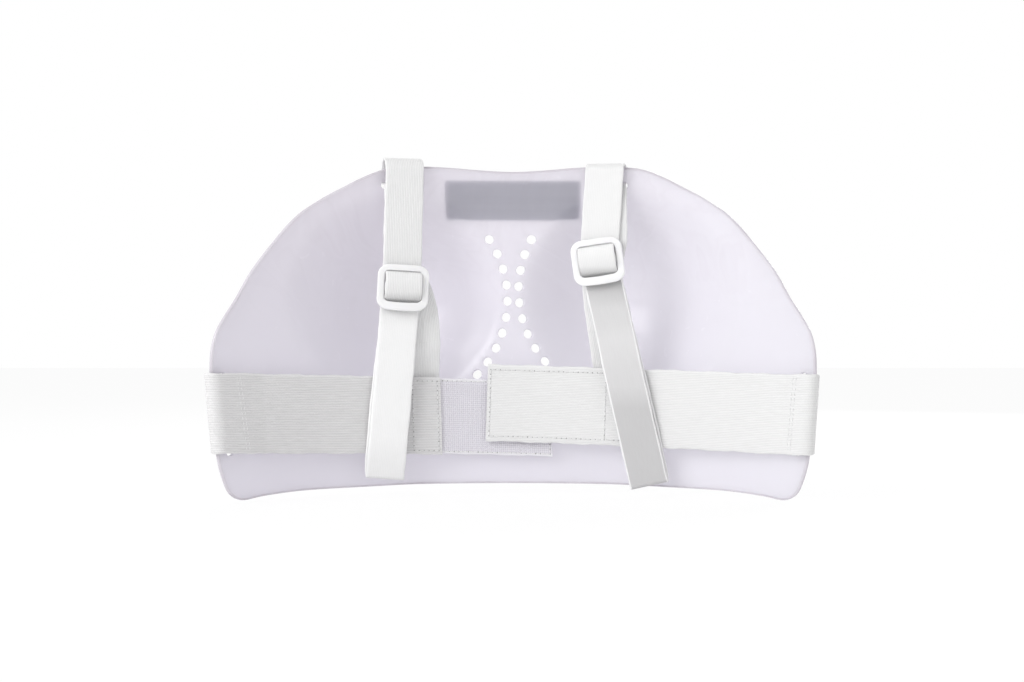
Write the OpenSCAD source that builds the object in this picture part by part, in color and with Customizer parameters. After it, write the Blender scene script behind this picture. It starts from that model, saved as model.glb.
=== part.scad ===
// Strap-on chest guard: one moulded shell with two domes, two elastic shoulder
// straps with slide adjusters, and an elastic waist band with a hook-and-loop lap.
// Frame: +Z up, +Y out of the wearer's chest, origin on the inner face of the
// shell at mid height on its centre line. Millimetres.

/* [Shell] */
// Wall thickness of the moulded shell
shell_t = 2.6; // [2.2:0.1:3.0]
// How far the side edges wrap back round the torso
wrap_depth = 75; // [70:1:80]
// How sharply the sides turn back: 2 is a parabola
wrap_power = 2.4; // [2.2:0.1:2.6]
// How far the top edge leans back to the collar bones
top_lean = 14; // [10:1:18]
// How far the bottom edge leans back to the ribs
bottom_lean = 4; // [2:1:6]

/* [Domes] */
// Height of each dome above the shell
cup_h = 36; // [28:1:44]
// Radius of each dome at its foot
cup_r = 70; // [66:1:72]
// Distance of each dome from the centre line
cup_x = 74.4; // [72:0.2:78]
// Height of the dome centres
cup_z = 20; // [15:1:25]

/* [Vents] */
// Diameter of one vent hole
vent_d = 6; // [4:0.5:7]
// Number of vent holes in each column
vent_n = 10; // [6:1:10]
// Angle between neighbouring vent holes, seen from the dome centre
vent_pitch = 8.6; // [8.2:0.1:9]

/* [Shoulder straps] */
// Width of the shoulder webbing
strap_w = 25; // [22:1:26]
// Thickness of the shoulder webbing
strap_t = 1.3; // [1:0.1:1.4]
// Place of the left strap slot across the shell
left_slot_x = -71.5; // [-72.5:0.5:-69]
// Place of the right strap slot across the shell
right_slot_x = 60.5; // [58:0.5:63]

/* [Slide adjusters] */
// Outside width of a slide adjuster
adj_w = 33.5; // [31:0.5:35]
// Outside height of a slide adjuster
adj_h = 29; // [27:0.5:30]
// Height of the left adjuster above the origin
left_adj_z = 27.5; // [24:0.5:32]
// Height of the right adjuster above the origin
right_adj_z = 44.3; // [40:0.5:48]

/* [Waist band] */
// Width of the waist webbing
band_w = 50; // [46:1:50]
// Thickness of the waist webbing
band_t = 1.4; // [1.2:0.1:1.5]
// Thickness of each half of the hook-and-loop tape
tape_t = 1.6; // [1.4:0.1:1.7]

/* [Hidden] */
$fn = 48;
half_w = 186;
white = [0.94, 0.94, 0.95];
milk = [0.88, 0.86, 0.92];

// ---------- shell surface ----------
// Inner face of the shell as a height over the X-Z plane.
function cup(x, z, s) =
  let (t2 = (pow(x - s * cup_x, 2) + pow(z - cup_z, 2)) / (cup_r * cup_r))
  t2 >= 1 ? 0 : cup_h * pow(1 - t2, 1.6);
function face(x, z) =
  -wrap_depth * pow(abs(x) / half_w, wrap_power)
  - (z > 0 ? top_lean : bottom_lean) * pow(z / 110, 2)
  + cup(x, z, 1) + cup(x, z, -1);
function slope_x(x, z) = (face(x + 0.5, z) - face(x - 0.5, z));
function slope_z(x, z) = (face(x, z + 0.5) - face(x, z - 0.5));
function out_dir(x, z) =
  let (n = [-slope_x(x, z), 1, -slope_z(x, z)]) n / norm(n);
// A point lifted o millimetres off the inner face, towards the front.
function lifted(x, z, o) = [x, face(x, z), z] + o * out_dir(x, z);

// ---------- outline ----------
// Right half of the shell's outline from the neck dip down to the bottom edge.
edge_half = [[0, 102.6], [20, 103.5], [38, 104.9], [55, 105.6], [71, 105], [84, 103],
  [97, 97.6], [108, 91.6], [118, 86], [127, 80], [135, 74], [143.5, 65], [151.3, 54.8],
  [158, 45.5], [165, 34.5], [172.5, 19.5], [179.5, 7], [183.8, -2.5], [186.1, -14.5],
  [186.4, -30], [185.6, -46], [184.2, -62], [182.3, -80], [179.6, -92], [175.6, -102],
  [168.5, -106.3], [157, -104.6], [143, -103], [127, -102], [97, -101.3], [65, -100.3],
  [33, -100], [0, -99.9]];
half_n = len(edge_half);
edge_pts = concat(edge_half, [for (i = [half_n - 2:-1:1]) [-edge_half[i][0], edge_half[i][1]]]);
edge_n = len(edge_pts);
edge_k = 2;
function spline(p0, p1, p2, p3, t) =
  0.5 * ((2 * p1) + (p2 - p0) * t + (2 * p0 - 5 * p1 + 4 * p2 - p3) * t * t
  + (3 * p1 - p0 - 3 * p2 + p3) * t * t * t);
outline = [for (i = [0:edge_n - 1], k = [0:edge_k - 1])
  spline(edge_pts[(i + edge_n - 1) % edge_n], edge_pts[i], edge_pts[(i + 1) % edge_n],
    edge_pts[(i + 2) % edge_n], k / edge_k)];
out_n = len(outline);
rings = 14;

// Closed sheet between two lifts of the inner face, on rings that shrink to the origin.
module sheet(lo, hi) {
  function ring_pts(o) = concat([lifted(0, 0, o)],
    [for (j = [1:rings], i = [0:out_n - 1]) lifted(outline[i][0] * j / rings, outline[i][1] * j / rings, o)]);
  m = out_n * rings + 1;
  function id(j, i) = 1 + (j - 1) * out_n + (i % out_n);
  fan = [for (i = [0:out_n - 1]) [0, id(1, i), id(1, i + 1)]];
  web = [for (j = [1:rings - 1], i = [0:out_n - 1], h = [0, 1])
    h == 0 ? [id(j, i), id(j + 1, i), id(j + 1, i + 1)] : [id(j, i), id(j + 1, i + 1), id(j, i + 1)]];
  front = concat(fan, web);
  back = [for (f = front) [f[0] + m, f[2] + m, f[1] + m]];
  rim = [for (i = [0:out_n - 1], h = [0, 1])
    h == 0 ? [id(rings, i), id(rings, i) + m, id(rings, i + 1) + m]
           : [id(rings, i), id(rings, i + 1) + m, id(rings, i + 1)]];
  polyhedron(points = concat(ring_pts(lo), ring_pts(hi)),
    faces = [for (f = concat(front, back, rim)) [f[0], f[2], f[1]]]);
}

// Round-ended slot cutter that lies along X and cuts along Y.
module slot_cutter(len, wid) {
  r = wid / 2;
  union() {
    cube([len - wid, 40, wid], center = true);
    for (s = [-1, 1]) translate([s * (len / 2 - r), 0, 0]) rotate([90, 0, 0]) cylinder(h = 40, r = r, center = true);
  }
}

// ---------- places ----------
slot_z = 93.25;
slot_h = 4.5;
slot_len = strap_w + 2;
// Centre of the strap's turn round the bar above a top slot, and the bar's heading.
function bar_heading(x) = atan(slope_x(x, 101));
function loop_c(x) = [x, face(x, 101.6) + shell_t / 2, 102.2];
loop_r = 7.6; // inside radius of the strap's turn round the top bar

side_z = -52.5;
side_x = 184.8;
side_tilt = 4.2;
side_lean = 1.9;
side_heading = atan(slope_x(side_x - 4, side_z)); // negative on the right side
side_bar = 8;
side_slot = 4.8;
ring_r = 5.8; // inside radius of the band's turn round the side bar
// Centre of the side bar: half a bar inwards from the edge, in mid wall.
side_c = [side_x, face(side_x, side_z), side_z]
  + side_bar / 2 * [-cos(side_heading), -sin(side_heading), 0]
  + shell_t / 2 * out_dir(side_x - 3, side_z);

module at_side(s) {
  translate([s * side_c[0], side_c[1], side_c[2]]) rotate([-side_lean, s * side_tilt, 0]) children();
}
module at_loop(x) {
  translate(loop_c(x)) rotate([0, 0, bar_heading(x)]) children();
}

module vents() {
  for (s = [-1, 1], i = [0:vent_n - 1]) {
    a = (s < 0 ? 33.6 : 27.6) - i * vent_pitch;
    px = cup_x - (cup_r + 0.5) * cos(a);
    pz = cup_z + (s < 0 ? 0 : 6.4) + (cup_r + 0.5) * sin(a);
    translate([s * px, 0, pz]) rotate([90, 0, 0]) cylinder(h = 60, r = vent_d / 2, center = true, $fn = 28);
  }
}

module shell() {
  color(milk) difference() {
    sheet(0, shell_t);
    vents();
    for (x = [left_slot_x, right_slot_x])
      translate([x, loop_c(x)[1], slot_z]) rotate([0, 0, bar_heading(x)]) slot_cutter(slot_len, slot_h, $fn = 24);
    for (s = [-1, 1]) at_side(s) rotate([0, 0, s * side_heading])
      translate([-s * (side_bar / 2 + side_slot / 2), 0, 0]) rotate([0, 90, 0]) slot_cutter(band_w + 2, side_slot, $fn = 24);
  }
}

// ---------- label ----------
label_x = 44;
label_lo = 71.4;
label_hi = 96.8;
module label_patch() {
  nx = 22;
  nz = 7;
  lo = shell_t + 0.6;
  hi = shell_t + 1.3;
  function gx(i) = -label_x + 2 * label_x * i / nx;
  function gz(k) = label_lo + (label_hi - label_lo) * k / nz;
  function id(i, k) = i * (nz + 1) + k;
  m = (nx + 1) * (nz + 1);
  pts = [for (o = [lo, hi], i = [0:nx], k = [0:nz]) lifted(gx(i), gz(k), o)];
  quads = [for (i = [0:nx - 1], k = [0:nz - 1]) [id(i, k), id(i + 1, k), id(i + 1, k + 1), id(i, k + 1)]];
  inner = [for (q = quads, h = [0, 1]) h == 0 ? [q[0], q[1], q[2]] : [q[0], q[2], q[3]]];
  outer = [for (f = inner) [f[0] + m, f[2] + m, f[1] + m]];
  border = concat([for (i = [0:nx - 1]) id(i, 0)], [for (k = [0:nz - 1]) id(nx, k)],
    [for (i = [nx:-1:1]) id(i, nz)], [for (k = [nz:-1:1]) id(0, k)]);
  bn = len(border);
  sides = [for (i = [0:bn - 1], h = [0, 1])
    let (a = border[i], b = border[(i + 1) % bn]) h == 0 ? [a, a + m, b + m] : [a, b + m, b]];
  color([0.16, 0.18, 0.28]) polyhedron(points = pts, faces = [for (f = concat(inner, outer, sides)) [f[0], f[2], f[1]]]);
}

// ---------- waist band ----------
band_y0 = -11;
band_drop = 66;
band_x = 182;
seam_x = 160; // where the turned-back end is sewn down
// Front face of the left half of the band, seen from above.
function band_y(x) = let (u = min(1, abs(x) / band_x))
  band_y0 - band_drop * pow(u, 2);
// Plan of a strip that follows the band between two offsets behind its face.
module strip_plan(x0, x1, o0, o1, n = 14) {
  xs = [for (i = [0:n]) x0 + (x1 - x0) * i / n];
  polygon(concat([for (x = xs) [x, band_y(x) + o0]], [for (i = [n:-1:0]) [xs[i], band_y(xs[i]) + o1]]));
}
module strip(x0, x1, o0, o1, wid, z = 0, n = 14) {
  translate([0, 0, z - wid / 2]) linear_extrude(height = wid) strip_plan(x0, x1, o0, o1, n);
}
// The band half hangs level from its seam and drifts by a small angle.
left_drift = 1.6;
right_drift = 1.8;
module drift(s) {
  translate([s * seam_x, 0, side_z]) rotate([0, s < 0 ? left_drift : right_drift, 0]) translate([-s * seam_x, 0, 0]) children();
}
// Round turn about the side bar and the two layers up to the seam. Both layers
// leave the turn on its wearer's side, the sewn-down end nearer the shell.
turn_r = ring_r + band_t / 2;
function layer_p(s, k) = k == 0 ? [-s * 0.574 * turn_r, -0.819 * turn_r] : [-s * 0.97 * turn_r, -0.246 * turn_r];
function layer_d(s, k) = [s * (seam_x - 4 - side_c[0]), band_y(seam_x - 4) + band_t / 2 - side_c[1] + k * (band_t + 0.05)];
module side_turn(s) {
  at_side(s) union() {
    difference() {
      cylinder(h = band_w, r = ring_r + band_t, center = true);
      cylinder(h = band_w + 2, r = ring_r, center = true);
    }
    for (k = [0, 1]) {
      p = layer_p(s, k);
      d = layer_d(s, k);
      linear_extrude(height = band_w, center = true)
        polygon([p - [0, band_t / 2], p + [0, band_t / 2], d + [0, band_t / 2], d - [0, band_t / 2]]);
    }
  }
}
module left_waist_band() {
  color(white) union() {
    side_turn(-1);
    drift(-1) strip(-seam_x + 3, -46.5, 0, band_t, band_w);
  }
}
right_fwd = -(tape_t + 1); // the right half laps in front of the hook tape
function lap(x) = right_fwd * min(1, max(0, (seam_x - x) / (seam_x - 30)));
module right_plan(x0, x1, o0, o1, n = 16) {
  xs = [for (i = [0:n]) x0 + (x1 - x0) * i / n];
  polygon(concat([for (x = xs) [x, band_y(x) + lap(x) + o0]], [for (i = [n:-1:0]) [xs[i], band_y(xs[i]) + lap(xs[i]) + o1]]));
}
module right_strip(x0, x1, o0, o1, wid, z = 0, n = 16) {
  translate([0, 0, z - wid / 2]) linear_extrude(height = wid) right_plan(x0, x1, o0, o1, n);
}
module right_waist_band() {
  color(white) union() {
    side_turn(1);
    drift(1) right_strip(seam_x - 3, -17, 0, band_t, band_w);
  }
}
gap = 0.05;
module hook_tape() {
  color([0.92, 0.9, 0.95]) drift(-1) strip(-66, 25, band_t + gap, band_t + gap + tape_t, band_w - 1, n = 16);
}
module loop_tape() {
  color([0.95, 0.95, 0.95]) drift(1) right_strip(59, -16, band_t + gap, band_t + gap + tape_t - 0.15, band_w - 4, n = 14);
}

// ---------- stitching: one thread per seam, with raised stitches ----------
// Threads lie 0.15 in front of the cloth; the seam line is 0.2 thick and each
// stitch stands 0.4 further out.
function seam_y(s, x) = band_y(x) + (s > 0 ? lap(x) : 0);
// Column of stitches up the band at x
module thread_column(s, x, z0, z1, o) {
  n = floor((z1 - z0) / 3.4);
  translate([x, seam_y(s, x) + o, (z0 + z1) / 2]) rotate([0, 0, atan(seam_y(s, x + 0.5) - seam_y(s, x - 0.5))]) {
    translate([0, -0.1, 0]) cube([0.5, 0.2, z1 - z0], center = true);
    for (i = [0:n - 1]) translate([0, -0.3, (i + 0.5 - n / 2) * (z1 - z0) / n]) cube([0.7, 0.6, 2.3], center = true);
  }
}
// Row of stitches along the band at height z
module thread_row(s, x0, x1, z, o) {
  n = floor(abs(x1 - x0) / 3.4);
  if (s < 0) strip(x0, x1, o - 0.2, o, 0.5, z, max(4, floor(n / 2)));
  else right_strip(x0, x1, o - 0.2, o, 0.5, z, max(4, floor(n / 2)));
  for (i = [0:n - 1]) {
    x = x0 + (i + 0.5) * (x1 - x0) / n;
    translate([x, seam_y(s, x) + o, z]) rotate([0, 0, atan(seam_y(s, x + 0.5) - seam_y(s, x - 0.5))])
      translate([0, -0.32, 0]) cube([2.3, 0.56, 0.7], center = true);
  }
}
// Stitches up the turned-back end, in the frame of the side bar
module side_seam(s) {
  p = layer_p(s, 0);
  d = layer_d(s, 0) - p;
  t = s < 0 ? 0.5 : 0.33;
  n = 14;
  h = band_w - 3;
  color([0.97, 0.97, 0.97]) at_side(s) translate([p[0] + t * d[0], p[1] + t * d[1], 0]) rotate([0, 0, atan(d[1] / d[0])])
    translate([0, -band_t / 2 - 0.1, 0]) union() {
      translate([0, -0.1, 0]) cube([0.5, 0.2, h], center = true);
      for (i = [0:n - 1]) translate([0, -0.3, (i + 0.5 - n / 2) * h / n]) cube([0.7, 0.6, 2.3], center = true);
    }
}
module left_side_seam() side_seam(-1);
module right_side_seam() side_seam(1);
seam_o = -0.15;
module left_anchor_seam() {
  color([0.97, 0.97, 0.97]) drift(-1) union() {
    thread_column(-1, -48.5, -22.5, 22.5, seam_o);
    thread_column(-1, -64.5, -22.5, 22.5, seam_o);
    for (z = [-22.5, 22.5]) thread_row(-1, -64.5, -48.5, z, seam_o);
  }
}
tape_o = band_t + gap + seam_o;
module hook_tape_seam() {
  color([0.97, 0.97, 0.97]) drift(-1) union() {
    for (z = [-22.8, 22.8]) thread_row(-1, -45, 23.5, z, tape_o);
    thread_column(-1, 23.5, -22.8, 22.8, tape_o);
  }
}
module loop_tape_seam() {
  color([0.97, 0.97, 0.97]) drift(1) union() {
    for (z = [-21.5, 21.5]) thread_row(1, -15, 57, z, seam_o);
    thread_column(1, -15, -21.5, 21.5, seam_o);
  }
}
module right_anchor_seam() {
  color([0.97, 0.97, 0.97]) drift(1) union() {
    thread_column(1, 59.5, -21.5, 21.5, seam_o);
    thread_column(1, 75, -21.5, 21.5, seam_o);
    for (z = [-21.5, 21.5]) thread_row(1, 59.5, 75, z, seam_o);
  }
}

// ---------- shoulder straps ----------
// Every strap is drawn in a frame at its turn round the top bar: X along the bar,
// -Y to the wearer, Z up. Below the adjuster it swings sideways by its own angle.
front_y = -(loop_r + strap_t / 2); // centre of the front layer
function adj_z(s) = (s < 0 ? left_adj_z : right_adj_z) - 102.2;
function slot_x(s) = s < 0 ? left_slot_x : right_slot_x;
// Sideways lean, in degrees, of the run above the adjuster, of the adjuster, of the
// tail in front of the band, and of the end that goes behind the band.
function run_lean(s) = s < 0 ? -1.5 : -3.8;
function adj_tilt(s) = s < 0 ? -3 : 8;
function lean(s) = s < 0 ? -5.2 : 13;
function back_lean(s) = s < 0 ? 20.5 : 6.5;
// The left hanging layer bows out, then drops straight behind the band.
function end_lean(s) = s < 0 ? 0 : 6.5;
function end_off(s) = s < 0 ? 14.2 : 0;
// Where the strap is parted, below the adjuster, so that band and strap can move apart.
function part_z(s) = adj_z(s) - (s < 0 ? 35.5 : 44.5);
function end_z(s) = adj_z(s) - (s < 0 ? 123 : 147.5);
// Frame at the centre of the adjuster, leaning by a degrees
module at_adj(s, a) {
  rotate([0, -run_lean(s), 0]) translate([0, 0, adj_z(s)]) rotate([0, run_lean(s) - a, 0]) children();
}
module below(s, a) {
  at_adj(s, a) translate([0, 0, -adj_z(s)]) children();
}
// Ribbon swept from side to side: its path is a list of [y, z] centre points.
function unit(v) = v / norm(v);
function side_of(p, i) = let (n = len(p), a = p[max(0, i - 1)], b = p[min(n - 1, i + 1)], d = unit(b - a)) [-d[1], d[0]];
module ribbon(p, w = strap_w, t = strap_t, off = 0) {
  n = len(p);
  q = concat([for (i = [0:n - 1]) p[i] + t / 2 * side_of(p, i)], [for (i = [n - 1:-1:0]) p[i] - t / 2 * side_of(p, i)]);
  translate([-w / 2 + off, 0, 0]) rotate([90, 0, 90]) linear_extrude(height = w) polygon(q);
}
function turn(c, r, a0, a1, n) = [for (i = [0:n]) c + r * [cos(a0 + (a1 - a0) * i / n), sin(a0 + (a1 - a0) * i / n)]];
// Three quarters of a turn: up from the wearer's side, over the bar and in at the slot
module top_turn() {
  difference() {
    rotate([0, 90, 0]) cylinder(h = strap_w, r = loop_r + strap_t, center = true);
    rotate([0, 90, 0]) cylinder(h = strap_w + 2, r = loop_r, center = true);
    translate([0, -10, -10]) cube([strap_w + 2, 20, 20], center = true);
  }
}
module shoulder_strap(s) {
  color(white) at_loop(slot_x(s)) union() {
    top_turn();
    ribbon([[front_y, 0], [front_y, -12]]);
    rotate([0, -run_lean(s), 0]) ribbon([[front_y, -11], [front_y, adj_z(s)]]);
    below(s, lean(s)) ribbon([[front_y, adj_z(s) + 3], [front_y, part_z(s) + 1]]);
  }
}
// Second leg of the loop, from the slot down to the adjuster's middle bar.
module strap_rear_leg(s) {
  color(white) at_loop(slot_x(s)) rotate([0, s < 0 ? -run_lean(s) : 0, 0])
    ribbon([[-0.9, -9.9], [-3.2, -15], [-5.2, -23], [-6.1, -33], [-6.1, adj_z(s) + 6.8]], w = strap_w - 1, off = s < 0 ? 0 : 1);
}
fold_a = -6.05;
fold_b = -3.15;
// Top of the slack, folded behind the adjuster.
module strap_slack_fold(s) {
  z1 = adj_z(s) + 1;
  c = [(fold_a + fold_b) / 2, z1];
  r = (fold_b - fold_a) / 2;
  color(white) at_loop(slot_x(s)) union() {
    below(s, lean(s)) ribbon(concat([[fold_a, part_z(s) + 1]], turn(c, r, 180, 0, 10), [[fold_b, z1 - 3]]));
    below(s, back_lean(s)) ribbon([[fold_b, z1 - 0.5], [fold_b, part_z(s) + 1]]);
  }
}
function tail_a(s) = s < 0 ? -8.9 : -11;
function tail_b(s) = tail_a(s) + 2;
// Slack that hangs over the band, comes back up, and the end that is sewn behind the band.
module strap_tail(s) {
  pz = part_z(s) - 1;
  ez = end_z(s);
  bt = s < 0 ? -129 : -127; // just above the band
  ta = tail_a(s);
  tb = tail_b(s);
  c = [(ta + tb) / 2, ez + 1.2];
  color(white) at_loop(slot_x(s))
    below(s, lean(s)) ribbon(concat([[front_y, pz], [ta, bt + 4], [ta, ez + 1.4]], turn(c, 1, 180, 360, 8),
      [[tb, ez + 1.4], [tb, bt + 4], [fold_a, pz]]));
  color(white) at_loop(slot_x(s)) below(s, end_lean(s))
    ribbon([[fold_b, pz], [s < 0 ? 1.3 : 0.3, bt + 1], [s < 0 ? 1.3 : 0.3, bt - 18]], off = end_off(s));
}
// The strap's turn over the adjuster's middle bar
bar_y = -11.7;
module strap_roll(s) {
  c = [front_y - strap_t / 2 - 0.1, 0];
  n = 16;
  outer = [for (i = [0:n]) let (a = 180 * i / n) [c[0] - 6.5 * sin(a), 9.3 * cos(a)]];
  inner = [for (i = [n:-1:0]) let (a = 180 * i / n) [c[0] - 5.2 * sin(a), 8 * cos(a)]];
  color(white) at_loop(slot_x(s)) at_adj(s, adj_tilt(s))
    translate([-strap_w / 2 + 0.6, 0, 0]) rotate([90, 0, 90]) linear_extrude(height = strap_w - 1.2) polygon(concat(outer, inner));
}
// The strap's own end, sewn round the middle bar
module strap_sewn_end(s) {
  function racetrack(hz, hy) = [for (i = [0:23]) let (a = 15 * i) [bar_y + hy * sin(a), hz * cos(a)]];
  color(white) at_loop(slot_x(s)) at_adj(s, adj_tilt(s))
    translate([-strap_w / 2 + 0.8, 0, 0]) rotate([90, 0, 90]) linear_extrude(height = strap_w - 1.6) difference() {
      polygon(racetrack(5.1, 2.35));
      polygon(racetrack(3.9, 1.3));
    }
}
module rounded(w, h, r) {
  square([w - 2 * r, h], center = true);
  square([w, h - 2 * r], center = true);
  for (i = [-1, 1], k = [-1, 1]) translate([i * (w / 2 - r), k * (h / 2 - r)]) circle(r = r);
}
module slide_adjuster(s) {
  wall = (adj_w - strap_w + 0.4) / 2;
  top_bar = 3.9;
  low_bar = 4.7;
  color([0.97, 0.97, 0.98]) at_loop(slot_x(s)) at_adj(s, adj_tilt(s)) union() {
    translate([0, bar_y - 0.3, 0]) rotate([90, 0, 0]) difference() {
      linear_extrude(height = 2.6, center = true) rounded(adj_w, adj_h, 4.2);
      translate([0, (low_bar - top_bar) / 2, 0]) linear_extrude(height = 4, center = true)
        rounded(adj_w - 2 * wall, adj_h - top_bar - low_bar, 1.6);
    }
    // middle bar, its edges rounded
    translate([0, bar_y, 0]) {
      cube([adj_w - wall, 1.6, 3.6], center = true);
      for (k = [-1, 1]) translate([0, 0, k * 1.8]) rotate([0, 90, 0]) cylinder(h = adj_w - wall, r = 0.8, center = true);
    }
  }
}

module left_shoulder_strap() shoulder_strap(-1);
module right_shoulder_strap() shoulder_strap(1);
module left_strap_rear_leg() strap_rear_leg(-1);
module right_strap_rear_leg() strap_rear_leg(1);
module left_strap_slack_fold() strap_slack_fold(-1);
module right_strap_slack_fold() strap_slack_fold(1);
module left_strap_tail() strap_tail(-1);
module right_strap_tail() strap_tail(1);
module left_strap_roll() strap_roll(-1);
module right_strap_roll() strap_roll(1);
module left_strap_sewn_end() strap_sewn_end(-1);
module right_strap_sewn_end() strap_sewn_end(1);
module left_slide_adjuster() slide_adjuster(-1);
module right_slide_adjuster() slide_adjuster(1);

shell();
label_patch();
left_waist_band();
right_waist_band();
hook_tape();
loop_tape();
left_side_seam();
right_side_seam();
left_anchor_seam();
right_anchor_seam();
hook_tape_seam();
loop_tape_seam();
left_shoulder_strap();
right_shoulder_strap();
left_strap_rear_leg();
right_strap_rear_leg();
left_strap_slack_fold();
right_strap_slack_fold();
left_strap_tail();
right_strap_tail();
left_strap_roll();
right_strap_roll();
left_strap_sewn_end();
right_strap_sewn_end();
left_slide_adjuster();
right_slide_adjuster();
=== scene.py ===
import math

import bmesh
import bpy
import numpy as np
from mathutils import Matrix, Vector, geometry


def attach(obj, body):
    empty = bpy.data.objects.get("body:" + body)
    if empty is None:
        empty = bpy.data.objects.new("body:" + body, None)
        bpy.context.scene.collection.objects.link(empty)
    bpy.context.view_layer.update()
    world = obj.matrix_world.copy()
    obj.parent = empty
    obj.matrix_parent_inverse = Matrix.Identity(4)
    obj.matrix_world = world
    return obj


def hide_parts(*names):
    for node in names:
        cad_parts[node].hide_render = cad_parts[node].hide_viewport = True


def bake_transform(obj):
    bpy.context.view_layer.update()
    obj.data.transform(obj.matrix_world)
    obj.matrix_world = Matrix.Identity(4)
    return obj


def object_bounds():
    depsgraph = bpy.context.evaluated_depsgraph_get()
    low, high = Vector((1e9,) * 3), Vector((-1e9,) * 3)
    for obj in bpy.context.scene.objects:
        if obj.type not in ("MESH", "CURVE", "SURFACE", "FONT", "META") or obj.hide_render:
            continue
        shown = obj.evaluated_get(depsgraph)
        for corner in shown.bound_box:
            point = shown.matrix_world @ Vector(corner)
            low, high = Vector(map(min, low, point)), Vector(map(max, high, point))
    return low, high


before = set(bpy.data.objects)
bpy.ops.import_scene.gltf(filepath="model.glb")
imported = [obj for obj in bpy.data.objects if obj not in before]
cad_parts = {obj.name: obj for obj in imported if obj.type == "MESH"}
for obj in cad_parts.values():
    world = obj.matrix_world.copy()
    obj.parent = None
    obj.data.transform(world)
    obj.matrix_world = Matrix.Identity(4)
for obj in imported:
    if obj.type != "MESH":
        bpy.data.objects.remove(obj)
cad_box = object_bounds()
MM = 0.001
rng = np.random.default_rng(7)

# ------------------------------------------------------------------ shell surface
T = 2.6
CX, CZ, CR, CH = 74.4, 20.0, 70.0, 36.0


def cup(x, z, s):
    t = ((x - s * CX) ** 2 + (z - CZ) ** 2) / CR ** 2
    return np.where(t >= 1, 0.0, CH * np.power(np.clip(1 - t, 0, 1), 1.6))


def base(x, z):
    x, z = np.asarray(x, float), np.asarray(z, float)
    return -75 * (np.abs(x) / 186) ** 2.4 - np.where(z > 0, 14.0, 4.0) * (z / 110) ** 2


def arch(x, z):
    """Shallow moulded step that arches over the top of the vent columns."""
    r = np.sqrt(x ** 2 + (z + 49) ** 2)
    fade = np.clip(1 - (np.abs(x) / 52) ** 4, 0, 1)
    return 0.9 * fade / (1 + np.exp(-(r - 115) / 1.4))


def face(x, z):
    x, z = np.asarray(x, float), np.asarray(z, float)
    return base(x, z) + cup(x, z, 1) + cup(x, z, -1)


def look(x, z):
    return face(x, z) + arch(x, z) - 0.9 * np.clip(1 - (np.abs(x) / 52) ** 4, 0, 1)


def out_dir(x, z, f=face):
    x, z = np.asarray(x, float), np.asarray(z, float)
    n = np.stack([-(f(x + 0.5, z) - f(x - 0.5, z)), np.ones_like(x), -(f(x, z + 0.5) - f(x, z - 0.5))], -1)
    return n / np.linalg.norm(n, axis=-1, keepdims=True)


def lifted(x, z, o, f=face):
    x, z = np.asarray(x, float), np.asarray(z, float)
    p = np.stack([x, f(x, z), z], -1)
    return p + np.asarray(o, float)[..., None] * out_dir(x, z, f)


EDGE = [(0, 102.6), (20, 103.5), (38, 104.9), (55, 105.6), (71, 105), (84, 103), (97, 97.6), (108, 91.6), (118, 86),
        (127, 80), (135, 74), (143.5, 65), (151.3, 54.8), (158, 45.5), (165, 34.5), (172.5, 19.5), (179.5, 7),
        (183.8, -2.5), (186.1, -14.5), (186.4, -30), (185.6, -46), (184.2, -62), (182.3, -80), (179.6, -92),
        (175.6, -102), (168.5, -106.3), (157, -104.6), (143, -103), (127, -102), (97, -101.3), (65, -100.3),
        (33, -100), (0, -99.9)]


def resample(p, step, closed=False):
    p = np.asarray(p, float)
    if closed:
        p = np.vstack([p, p[:1]])
    d = np.r_[0, np.cumsum(np.linalg.norm(np.diff(p, axis=0), axis=1))]
    n = max(2, int(round(d[-1] / step)))
    t = np.linspace(0, d[-1], n + 1)
    q = np.stack([np.interp(t, d, p[:, k]) for k in range(p.shape[1])], 1)
    return q[:-1] if closed else q


def smooth(points, step=1.5, closed=False, sub=14):
    """Catmull-Rom through the points, resampled to even steps."""
    p = np.asarray(points, float)
    n = len(p)
    get = (lambda i: p[i % n]) if closed else (lambda i: p[min(n - 1, max(0, i))])
    out = []
    for i in range(n if closed else n - 1):
        a, b, c, d = get(i - 1), get(i), get(i + 1), get(i + 2)
        for k in range(sub):
            t = k / sub
            out.append(0.5 * (2 * b + (c - a) * t + (2 * a - 5 * b + 4 * c - d) * t * t + (3 * b - a - 3 * c + d) * t ** 3))
    if not closed:
        out.append(p[-1])
    return resample(out, step, closed)


def slope_x(x, z):
    return float(face(x + 0.5, z) - face(x - 0.5, z))


# ------------------------------------------------------------------ materials
def mat(name):
    m = bpy.data.materials.new(name)
    m.use_nodes = True
    nt = m.node_tree
    nt.nodes.clear()
    return m, nt


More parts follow.
